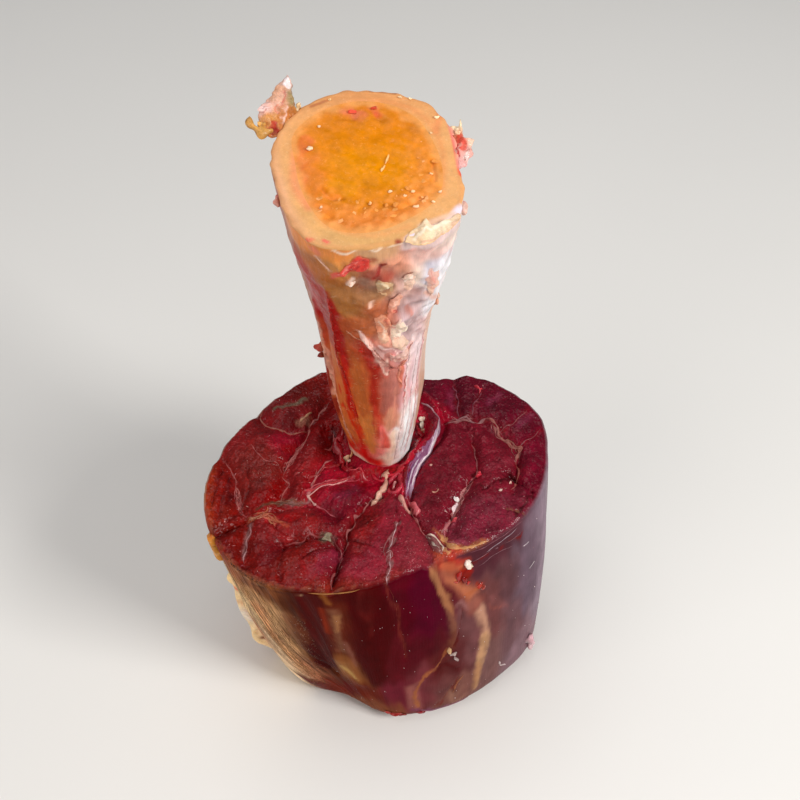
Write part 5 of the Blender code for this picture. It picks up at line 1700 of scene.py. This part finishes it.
TENDON_STRANDS = (
    ("#DDB49C", ((0, 1.3), (0.5, 1.3), (1, 1)), 1.6, "2.6,0.5 1.7,-4.7 -0.1,-10.6 -2.4,-14.9 -5.4,-19.4"),
    ("#C84454", 0.8, 1.4, "3.1,-8.3 4.5,-4.3 7.3,-2.8 8.7,-7.8 8.3,-12.3 6,-13.8 3.6,-12 3.1,-8.3"),
    ("#F0B4B0", 0.7, 1.6, "5,-11 5.6,-8.4 6.6,-6.4"),
    ("#DCA090", ((0, 1), (0.6, 1.2), (1, 0.8)), 1.4, "7.6,-16 10.6,-20.1 13.4,-23.4"),
    ("#D86C74", 1.2, 1.8, "12,-18 14.7,-19.5 16.1,-23.2 15.6,-26"),
    ("#C8C0B0", 0.45, 0.5, "20.1,-34.9 22.3,-38.7 25.3,-43.4 27,-46.3"),
    ("#F0DCC8", 0.5, 0.6, "27,-46.3 27.6,-42.1 25.4,-38.7 22.7,-36.3 20.4,-34.8"),
    ("#D83848", 0.5, 0.8, "45.3,51.8 47.3,50.4 49.8,50.4"),
    ("#E05860", 0.4, 0.8, "46.2,52.6 47.6,50.2 48.1,46.4"),
)
FAT_STRANDS = (
    ("#C8905E", ((0, 0.8), (0.3, 1.2), (0.6, 0.8), (1, 0.3)), 0.4,
     "25,-34.2 27.3,-36.1 29.1,-39 31.6,-42.3 35.1,-43.8 39.6,-43.3 44.2,-41.7 48.7,-39.6"),
    ("#C4885C", 1.2, 0.3, "26.2,-42 28.6,-44.6 31,-46.6"),
    ("#CC9C78", 0.45, 0.6, "-40.8,28.8 -37.7,31.6 -34.5,34.6"),
)
CUT_LUMPS = (
    (23.6, -40.6, 5.0, 1.7, 0.5, -62, "#7A4A4A"),
    (19.2, 30.6, 1.3, 0.9, 1.6, 60, "#F0DCC8"), (18.8, 27.2, 1.7, 0.9, 1.8, 95, "#F4E4D0"),
    (19.4, 24, 0.9, 0.8, 1.3, 20, "#E8C8A8"),
    (-17.6, 11.6, 2.0, 1.2, 1.6, 20, "#F0CCA4"), (-15.2, 12.6, 1.3, 0.8, 1.4, 70, "#E8B080"),
    (-16.2, 9.6, 1.0, 0.7, 1.0, -30, "#F4DCC0"),
    (45, -3.6, 1.6, 1.3, 1.4, 20, "#C43040"), (33.2, -27.6, 1.2, 1.0, 1.0, 0, "#C84850"),
    (34.4, -16.6, 1.0, 0.8, 0.8, 0, "#F0E4E0"),
    (-24.6, -37.2, 1.9, 1.2, 0.8, 10, "#8C8068"),
    (55, -13, 0.8, 0.5, 0.6, 40, "#E4C8B8"), (23, 2, 0.6, 0.4, 0.5, 10, "#DCA898"),
    (60, -7.6, 0.8, 0.5, 0.5, 70, "#D8B0A0"),
)
WALL_LUMPS = (  # degrees, height, half sizes, height, turn, tone
    (305, 121, 2.2, 1.3, 0.6, 60, "#8E0B08"), (307.4, 117.4, 1.8, 1.2, 0.7, 110, "#7A0604"),
    (308.8, 114, 1.2, 1.0, 0.5, 40, "#A81810"), (303.6, 118, 1.2, 0.7, 0.4, 0, "#A82414"),
    (313.6, 108.4, 1.8, 0.9, 0.4, 20, "#A02818"), (315.4, 106, 1.2, 0.8, 0.4, 30, "#983020"),
    (309.4, 127.6, 2.2, 1.2, 1.6, 60, "#F4E8DC"), (310.6, 124.4, 1.3, 0.9, 1.4, 30, "#F0DCC0"),
    (340.6, 20, 2.2, 5.6, 2.2, 0, "#D8A8B0"), (341.4, 12, 1.8, 2.6, 2.0, 0, "#E4BCC0"),
    (301, 61, 1.6, 0.8, 1.0, 20, "#B8A49C"), (302, 56, 1.0, 2.4, 1.2, 20, "#A89490"),
    (299.6, 64, 0.8, 1.8, 1.0, -20, "#C8A070"),
    (287, 8.6, 2.4, 1.5, 0.8, 10, "#8C0C10"), (275, 8.6, 3.4, 2.0, 0.9, 10, "#9A1014"),
    (278.6, 7.2, 2.2, 1.4, 0.8, -20, "#7E0A10"), (271.6, 9.8, 1.6, 1.0, 0.7, 30, "#A82420"),
)
WALL_STRANDS = (
    ("#A87444", 0.4, 0.3, "244,133.8 250,133.2 258,133.4 262,134"),
    ("#7A4A52", 0.2, 0.25, "311,133.2 324,133.2 338,133.4"),
    ("#B4A0A8", 0.12, 0.2, "318,129 326,130.4 334,131"),
    ("#6A2A22", 0.2, 0.1, "272.4,133.6 275,120 277,100 279,84 279.5,66"),
    ("#876269", 0.15, 0.2, "311.4,126.4 318.5,127.5 327.2,125.8 336,126.2"),
    ("#86646A", 0.12, 0.15, "314,121.6 322,124 332,121"),
    # Painted highlights: the three pale streaks below stand for small glints on the right of the wall.
    ("#C8B9BC", 0.22, 0.3, "335.8,114.7 339.1,113.8"),
    ("#BEB0B1", 0.2, 0.3, "338.2,92.9 342,92.6"),
    ("#CFBFBD", 0.35, 0.4, "323.6,27.4 325,21 328,15.8"),
    ("#9C6145", 0.3, 0.4, "306,36 303,28 301,20"),
    ("#8C6472", 0.5, 0.6, "286,12 292,7 300,5.2 310,6"),
)
RIM_STRANDS = (
    ("#E09A38", ((0, 1.6), (0.5, 2.4), (1, 1.4)), 2.6, "204.6,133 205,124 205.6,112"),
)


def make_strands():
    """Everything thin that lies on the upper cut and the wall, and the crumbs and clots there."""
    seams = laid(cut_point, SEAM_STRANDS, wander=0.3)
    for at, (names, count, half_width, spread, path) in enumerate(SEAM_BUNDLES):
        seams += bundle(cut_point, names, count, half_width, 0.3, path, spread, 2000 + 100 * at)
    piece("seam_strands", seams, (sinew,), "meat")
    fold = laid(cut_point, FOLD_STRANDS, seed=300, wander=0.08, uneven=0.1)
    piece("silver_fold", fold, (sinew,), "meat")
    piece("foot_tendons", laid(cut_point, TENDON_STRANDS, seed=350), (gristle,), "meat")
    piece("cut_fat", laid(cut_point, FAT_STRANDS, seed=400), (raw_fat,), "meat")
    piece("cut_crumbs", lumps(cut_point, CUT_LUMPS, 420, 0.3), (gristle,), "meat")
    flat = [(*unroll(row[0], row[1]), *row[2:]) for row in WALL_LUMPS]
    piece("wall_clots", lumps(on_wall, flat, 430, 0.25), (clot,), "meat")
    piece("wall_strands", laid(on_wall, WALL_STRANDS, unroll, 440), (silver_skin,), "meat")
    piece("rim_fat", laid(on_wall, RIM_STRANDS, unroll, 480), (raw_fat,), "meat")


PALE_FIBRES = ("#B8967C", "#8A6450", "#A6876C")
BROWN_FIBRES = ("#84643E", "#2E1A0E", "#4E3420", "#3A2414", "#664828")


def make_fascia():
    """Fibres of the left fascia: they lean with it, and end where the bare muscle starts."""
    draw = np.random.default_rng(500)
    fibres = []
    for at in range(FASCIA_FIBRES):
        first = draw.uniform(203, 238)
        high = min(draw.uniform(60, 131), 112 + (first - 200) * 0.6)
        height = np.linspace(high, max(high - draw.uniform(20, 80), 10), 30)
        left = bell((first + fibre_lean(height) - 232) / 34, 1)
        degrees = first + (fibre_lean(height) - fibre_lean(high)) * left
        inside = degrees < draw.uniform(227, 236) + np.clip(40 - height, 0, 8)
        if inside.sum() < 8:
            continue
        path = np.stack([degrees, height], axis=-1)[inside][::4]
        names = PALE_FIBRES if degrees[0] < 216 and high < 98 else BROWN_FIBRES
        fibres.append(strand(on_wall, names[draw.integers(len(names))], draw.uniform(0.07, 0.15),
                             draw.uniform(0.05, 0.1), unrolled(path, unroll), 510 + 5 * at, 0.25, 1.5, 6))
    return piece("fascia_fibres", fibres, (silver_skin,), "meat")


# Clusters of short pale marks: cut fibre ends, made pale as painted glints.
HATCHED = (  # middle, spread both ways, count and tone of cut fibre ends that catch light
    (-56, -2, 5, 4.5, 110, "#96685A"), (-29, -35, 5.5, 3, 90, "#A0686A"), (-30, -46, 4, 3, 60, "#A86070"),
    (14, -44, 3.5, 7, 70, "#C08080"), (36, -28, 6, 5, 60, "#B88088"), (-8, -50, 7, 4, 40, "#A86068"),
    (-55, -42, 6, 5, 50, "#98605A"),
)


def make_flecks():
    """Pale marks on the cut, part scratches, part painted glints; wall specks: painted glints and fascia
    specks.
    """
    draw = np.random.default_rng(900)
    places = []
    while len(places) < CUT_FLECKS:
        turn = draw.uniform(0, 2 * math.pi)
        x, y = plan_ring(RIM, np.array([turn]))[0] * math.sqrt(draw.uniform(0, 0.94))
        if math.hypot(x - BONE_AT_CUT[0], y - BONE_AT_CUT[1]) > 22:
            length = draw.uniform(0.12, 0.3) if draw.random() < 0.75 else draw.uniform(0.4, 1.0)
            name = ("#C89090", "#A86468", "#9C5060", "#D8B0A8")[draw.integers(4)]
            places.append((x, y, length, draw.uniform(0.07, 0.13), 0.12, draw.uniform(0, 180), name))
    for middle_x, middle_y, wide, deep, count, name in HATCHED:
        for x, y in draw.normal((middle_x, middle_y), (wide, deep), (count, 2)):
            if np.hypot(*plan_ring(RIM, np.array([math.atan2(y, x)]))[0]) > math.hypot(x, y) + 3:
                length, width = draw.uniform(0.12, 0.45), draw.uniform(0.05, 0.09)
                places.append((x, y, length, width, 0.12, draw.uniform(40, 140), name))
    piece("cut_flecks_and_glints", lumps(cut_point, places, 910, 0.2, 5, 6), (sinew,), "meat")
    places = []
    # Painted glints: small pale specks over the right and front of the wall.
    for _ in range(WALL_SPECKS):
        u, v = unroll(draw.uniform(246, 350), draw.uniform(8, 128))
        size = draw.uniform(0.08, 0.2)
        name = ("#C8A8A4", "#A88080", "#E8D8D4")[draw.integers(3)]
        places.append((u, v, size * draw.uniform(1, 2), size, 0.25, draw.uniform(0, 180), name))
    for _ in range(LEFT_SPECKS):
        u, v = unroll(238.6 + draw.normal() * 1.6, draw.uniform(36, 108))
        size, turn = draw.uniform(0.08, 0.2), draw.uniform(40, 140)
        places.append((u, v, size * 2, size, 0.12, turn, ("#8A6044", "#6A3A26")[draw.integers(2)]))
    return piece("wall_specks_and_glints", lumps(on_wall, places, 920, 0.2, 5, 6), (sinew,), "meat")


BONE_STRANDS = (
    ("#E0B49C", 0.3, 0.4, "241.5,184.4 245.6,181.4 248.7,178.4"),
    ("#D88A70", 0.4, 0.5, "307,117 303.6,106.6 296.8,101.2 294.4,91.7 297.4,84.2"),
    ("#8A3C34", 0.2, 0.4, "283.3,104 290.2,101.2 296.9,100.3 303.7,99.4"),
    ("#D87870", 0.3, 0.4, "302,90 302.6,80 302,70"),
    ("#DFA389", 0.5, 0.6, "212,128 206,100 203,76 208,50 219,26 232,12"),
    # Partly painted highlight: the next two pale strands are fibres whitened as wet streaks of light.
    ("#F4DBD7", 0.5, 0.5, "308,118 304,92 302,60 296,36 293,8"),
    ("#F2DDDC", 0.4, 0.5, "318,112 314,76 308,40 302,14"),
    ("#E2ABA8", 0.4, 0.5, "326,116 324,80 318,40 310,16"),
    ("#AC2213", 0.5, 0.6, "243,160 236,128 229,98 236,78 243,58 246,44"),
    ("#C88E73", 0.35, 0.4, "248,131 257,127 266,122.5"),
)
BONE_PADS = (  # thickness, roughness, outline, tones and strokes, in degrees round and millimetres along
    (1.8, 0.9, "287.6,143.8 291,145 294,141 299,133 295.6,128.4 301.2,121 299,117 292,118.6 287,122.6 "
     "284.6,130 285.4,138",
     (("#ECD0B8", 2, "289,141 291,134"), ("#E2BCA4", 1.5, "290,125 297,121"),
      # The palest tone of this lump, #F2E0CC, is a painted highlight.
      ("#F2E0CC", 1, "293,138 294,131")),
     (("#DDA088", 0.6, 1, 0.8, "286.6,130 291,128 295,128.6"),
      ("#E0A890", 0.5, 0.8, 0.7, "288,138.6 291.6,137.6"))),
    (1.8, 0.8, "272.6,145.4 276,148.6 281.4,146 285,141.6 283,134 282,127 277.6,125.4 274.8,131 274,137",
     (("#DE9474", 2, "277,144 281,140"), ("#E8B496", 2, "279,133 279,129"),
      ("#D08060", 1.5, "275.6,138 277,134")),
     (("#F2CDB4", 0.6, 1, 0.8, "276,143 279,138 280,131"),
      ("#C05A48", 0.5, 0.8, 0.7, "281,144 283,138"))),
    (1.2, 0.7, "275,169.4 278,171.8 282.4,171 286.4,167 285.6,162.6 281,160.8 277,163",
     (("#BC9A74", 2, "279,169 283,167"), ("#C49A74", 2, "278.6,164.4 282,162.6")),
     (("#E4D2B0", 0.7, 1, 0.8, "278,169.6 282,168.4"),
      ("#8E5038", 0.4, 0.7, 0.8, "275.6,166.4 280,165.2 284,164.6"))),
    (1.1, 0.6, "251.4,175.6 255,179.4 260,183.4 264,187.4 270.6,186.2 271,181.4 266,179.4 262,181 "
     "258,177.4",
     (("#D8443C", 2, "254,177.6 260,181"), ("#C83830", 2, "263,184.4 268,182.6")),
     (("#E8847A", 0.5, 0.9, 0.8, "256,179 261,182.6 266,185.4"),
      ("#A01C1C", 0.4, 0.7, 0.8, "260,180 264,182"))),
    (0.9, 0.7, "256,168.6 258.4,172.6 261.4,176 263.6,174.4 260.6,170.6 258,167.4",
     (("#E6C0AC", 1, "258,169 262,174"),),
     (("#F4DCCC", 0.4, 0.7, 0.8, "258,170 261,173.6"),)),
    (1.5, 0.8, "283,152.6 287,157.4 291.4,159 293.4,155.4 289.6,151 286.6,145.4 284,146",
     (("#E09C84", 1.5, "287,154 290,156"), ("#D87C64", 1, "286,149 285.4,147")),
     (("#C03830", 0.5, 0.8, 0.8, "287.4,150.6 288.4,148.4"),
      ("#F0C4B0", 0.4, 0.8, 0.8, "286,153 290,155"))),
    (0.8, 0.8, "292,168.6 296,172.6 301.6,171 302,165 298.6,160 294.4,161.4",
     (("#E6C2AE", 2, "295,168 299,165"), ("#D8A890", 1.5, "297,163 300,168")),
     (("#F2DCCC", 0.5, 0.9, 0.8, "294.4,167 298,170 300.6,167"),)),
    (1.7, 0.8, "308,166 311,170 316,168 319,160 320,151 316,148 312.6,154 309.6,160",
     (("#DCA898", 1.5, "311,166 315,160"), ("#E0B49C", 1.5, "317,154 318,150")),
     (("#D08070", 0.5, 0.9, 0.7, "311,168 314,160 316,154"),)),
    (1.4, 0.7, "259,135 264,131 268.4,124.6 273,117 278,110.6 283.6,104.6 280,103.6 274,109 269,117 "
     "264.6,124 260,129.6",
     (("#D8A096", 1.5, "262,131 268,122"), ("#C88C80", 1.5, "272,116 280,107")),
     (("#F0C8BC", 0.5, 0.8, 0.9, "260.6,133 266,126.6 271,119 277,111.6"),)),
    (1.7, 0.8, "284,116 290,114.6 296,116.4 302,114 304.6,108 300,104.6 292,105 286,108.6",
     (("#CC9C90", 2, "287,113 294,110"), ("#DDB4A4", 1.5, "298,112 302,109")),
     (("#E8C4B8", 0.6, 1, 0.8, "286,113.6 292,112 298,113"),
      ("#A86054", 0.4, 0.8, 0.8, "288,109 295,107.4 301,108"))),
)
BONE_LUMPS_FINE = (  # degrees, along, half sizes, height, turn, tone
    (336, 130, 1.2, 2.0, 0.9, 0, "#D8A088"), (334, 136, 1.0, 1.6, 0.8, 0, "#E0B4A0"),
    (343, 184, 1.4, 2.6, 1.4, 0, "#E8B8A8"), (184, 84, 1.0, 3.0, 2.6, 20, "#B84038"),
    (185, 78, 0.8, 2.2, 2.0, -10, "#8C2020"), (352, 178, 1.4, 3.4, 1.6, 0, "#E4A4A0"),
    (196, 186, 1.8, 2.4, 1.4, 0, "#D89080"),
    (259.4, 117.6, 0.8, 0.7, 0.5, 0, "#C02818"),
)
EDGE_FAT = (  # on the sawn end's own millimetres: thickness, roughness, outline, tones and strokes
    (1.5, 0.7, "12.8,-30.4 14.4,-26.6 16.6,-24.4 18.2,-23.2 19.6,-21.2 21,-24 23.3,-23.2 26.2,-22 "
     "28.6,-20 30.8,-18.6 31.1,-20.8 28.4,-24.6 24.4,-28.2 21.4,-30.6 17.6,-32.2",
     (("#DCBC98", 2, "15,-31 20,-28"), ("#E8D2B4", 2, "21,-27 26,-24"), ("#DCBEA0", 2, "28,-24 32,-17")),
     (("#F4E6D0", 0.6, 1, 0.8, "16,-29.6 20,-25.6 24,-24 28,-22.4"),
      ("#C8907C", 0.5, 0.9, 0.6, "18,-31 24,-29 29,-24"), ("#D8A890", 0.5, 0.9, 0.6, "26,-28 31,-21"))),
)
SAWN_LUMPS = (
    (-19.6, 9.3, 1.2, 0.8, 0.9, 70, "#F8DCB8"), (-16.8, 19.4, 0.5, 0.4, 0.5, 0, "#F8DCB8"),
    (6.8, 4.4, 1.4, 0.4, 0.5, 70, "#F8C888"), (5.4, 0.4, 1.2, 0.4, 0.4, 65, "#F8C888"),
    (7.9, -9.6, 0.6, 0.5, 0.6, 0, "#F8D8B0"), (12.9, -11.3, 0.6, 0.4, 0.5, 0, "#F8D0A8"),
    (15.5, -9.6, 0.7, 0.4, 0.5, 20, "#F8D0A0"), (24.6, -9.6, 0.5, 0.4, 0.4, 0, "#F8DCB8"),
    (-14.9, -16.4, 0.6, 0.4, 0.5, 40, "#F8D0A8"), (21.6, -1.8, 0.6, 0.4, 0.5, 0, "#F8C898"),
    (21.9, 16.6, 0.5, 0.4, 0.4, 0, "#F8D0A0"), (22.4, -13.9, 0.6, 0.4, 0.5, 0, "#F8D8B0"),
    (1.3, -14.7, 0.6, 0.4, 0.5, 30, "#F8C890"), (16.5, -16, 0.9, 0.5, 0.5, 10, "#F8C8A0"),
    (11.2, 33.4, 0.7, 0.5, 0.5, 0, "#F8DCB0"), (14.9, 32.6, 0.6, 0.45, 0.5, 0, "#F8DCB0"),
    (24.1, 23.8, 0.9, 0.6, 0.5, 40, "#F8D8B0"), (-13.5, 32.2, 0.5, 0.4, 0.4, 0, "#F4C890"),
    (-5.6, 26.2, 1.6, 0.8, 0.5, 10, "#D84838"), (2.1, 28, 1.0, 0.7, 0.5, 0, "#D04030"),
)
COLLAR = (
    ("#98101C", ((0, 1.4), (0.25, 1.8), (0.5, 1.2), (0.75, 1.8), (1, 1.4)), 1.6,
     "-20.6,26 -21.4,18 -18.8,8 -12.6,0 -5,-3.2"),
    ("#B8182C", 1.2, 1.4, "-6,-3 0,-3.4 6,-2.4 12,3 15.6,10"),
    ("#D05058", 0.5, 1.8, "-18.6,9.4 -13.4,1.8 -7,-2"),
    ("#8C0C18", 1.2, 1.2, "15,9 18,18 17.6,28"),
)


def make_bone_details():
    """Everything small on the bone, its sawn end and the marrow, and the clotted collar at its foot."""
    piece("bone_strands", laid(on_bone, BONE_STRANDS, bone_unroll, 600), (sinew,), "bone")
    flat = [(*bone_unroll(row[0], row[1]), *row[2:]) for row in BONE_LUMPS_FINE]
    fat = lumps(on_bone, flat, 660, 0.22)
    for at, (thick, rough, outline, tones, strokes) in enumerate(BONE_PADS):
        tones, strokes = laid_flat(tones, bone_unroll), laid_flat(strokes, bone_unroll)
        outline = unrolled(outline, bone_unroll)
        fat.append(pad(on_bone, outline, thick, tones, strokes, 700 + 10 * at, rough))
    for at, (thick, rough, outline, tones, strokes) in enumerate(EDGE_FAT):
        fat.append(pad(on_sawn_end, outline, thick, tones, strokes, 850 + 10 * at, rough))
    piece("bone_fat", fat, (raw_fat,), "bone")
    draw = np.random.default_rng(960)
    scrapes = []
    for _ in range(BONE_SCRAPES):
        u, v = bone_unroll(draw.uniform(226, 276), draw.uniform(14, 168))
        name = ("#CC9468", "#BC7C54", "#DCAC84")[draw.integers(3)]
        length, width = draw.uniform(0.4, 1.3), draw.uniform(0.05, 0.09)
        scrapes.append((u, v, length, width, 0.07, draw.normal(28, 12), name))
    piece("bone_scrapes", lumps(on_bone, scrapes, 970, 0.2, 5, 6), (sawn_bone,), "bone")
    curds = list(SAWN_LUMPS)
    for _ in range(MARROW_CURDS):
        turn, share = math.radians(draw.uniform(215, 395)), draw.uniform(0.5, 0.93)
        x, y = share * 26 * math.cos(turn), share * 27 * math.sin(turn)
        size = draw.uniform(0.25, 0.75)
        name = ("#E29046", "#E4964E", "#E09650", "#ECA468")[draw.integers(4)]
        curds.append((x, y, size * draw.uniform(1, 1.8), size, 0.12, draw.uniform(0, 180), name))
    piece("marrow_crumbs", lumps(on_sawn_end, curds, 670, 0.25), (marrow_fat,), "marrow")
    piece("foot_collar", laid(cut_point, COLLAR, seed=680, wander=0.6), (clot,), "meat")


make_tags()
make_flap()
make_strands()
make_fascia()
make_flecks()
make_bone_details()


# Floor, light and camera


def make_floor():
    """A plain square, as one face, with a faint warm grey tone."""
    half = 3.0
    mesh = bpy.data.meshes.new("floor")
    corners = [(-half, -half, 0), (half, -half, 0), (half, half, 0), (-half, half, 0)]
    mesh.from_pydata(corners, [], [(0, 1, 2, 3)])
    paper = bpy.data.materials.new("studio_paper")
    paper.use_nodes = True
    tree = paper.node_tree
    shader = tree.nodes["Principled BSDF"]
    place = add(tree, "ShaderNodeTexCoord").outputs["Object"]
    cloud = add(tree, "ShaderNodeTexNoise", inputs={"Vector": place, "Scale": 2.0, "Detail": 3.0})
    shade = add(tree, "ShaderNodeMix", {"data_type": "RGBA"}, {
        0: cloud.outputs[0], 6: (*linear("#DCDAD6"), 1), 7: (*linear("#E4E2DF"), 1)})
    tree.links.new(shade.outputs[2], shader.inputs["Base Color"])
    shader.inputs["Roughness"].default_value = 0.8
    mesh.materials.append(paper)
    floor = bpy.data.objects.new("floor", mesh)
    bpy.context.scene.collection.objects.link(floor)


def soft_light(name, place, size, power, colour):
    """A square lamp that faces the middle of the shank."""
    lamp = bpy.data.lights.new(name, "AREA")
    lamp.size = size
    lamp.energy = power
    lamp.color = linear(colour)
    made = bpy.data.objects.new(name, lamp)
    made.location = place
    made.rotation_euler = (Vector(LAMP_AIM) - Vector(place)).to_track_quat("-Z", "Y").to_euler()
    bpy.context.scene.collection.objects.link(made)


LAMP_AIM = (0, 0, 0.16)  # middle of the shank, in metres
SKY_TONE = "#EEF1F5"
SKY_STRENGTH = 0.22
CAMERA_PLACE = (0.0083, -0.3237, 0.5716)
CAMERA_TILT = 40.0  # degrees up from straight down
CAMERA_LENS = 51.75
LAMPS = (  # name, place and width in metres, watts and colour
    ("window", (0.95, -0.55, 1.0), 0.45, 17, "#FFFDFA"),
    ("overhead", (-0.2, 0.2, 1.5), 1.0, 8, "#FFFFFF"),
    ("front_fill", (-0.9, -0.8, 0.7), 1.0, 7, "#FFF8F2"),
)
make_floor()
for lamp in LAMPS:
    soft_light(*lamp)
world = bpy.data.worlds.new("studio")
world.use_nodes = True
world.node_tree.nodes["Background"].inputs["Color"].default_value = (*linear(SKY_TONE), 1)
world.node_tree.nodes["Background"].inputs["Strength"].default_value = SKY_STRENGTH
bpy.context.scene.world = world
bpy.context.scene.view_settings.view_transform = "Standard"

lens = bpy.data.cameras.new("camera")
lens.lens = CAMERA_LENS
lens.sensor_width = 36
camera = bpy.data.objects.new("camera", lens)
camera.location = CAMERA_PLACE
camera.rotation_euler = (math.radians(CAMERA_TILT), 0, 0)
bpy.context.scene.collection.objects.link(camera)
bpy.context.scene.camera = camera
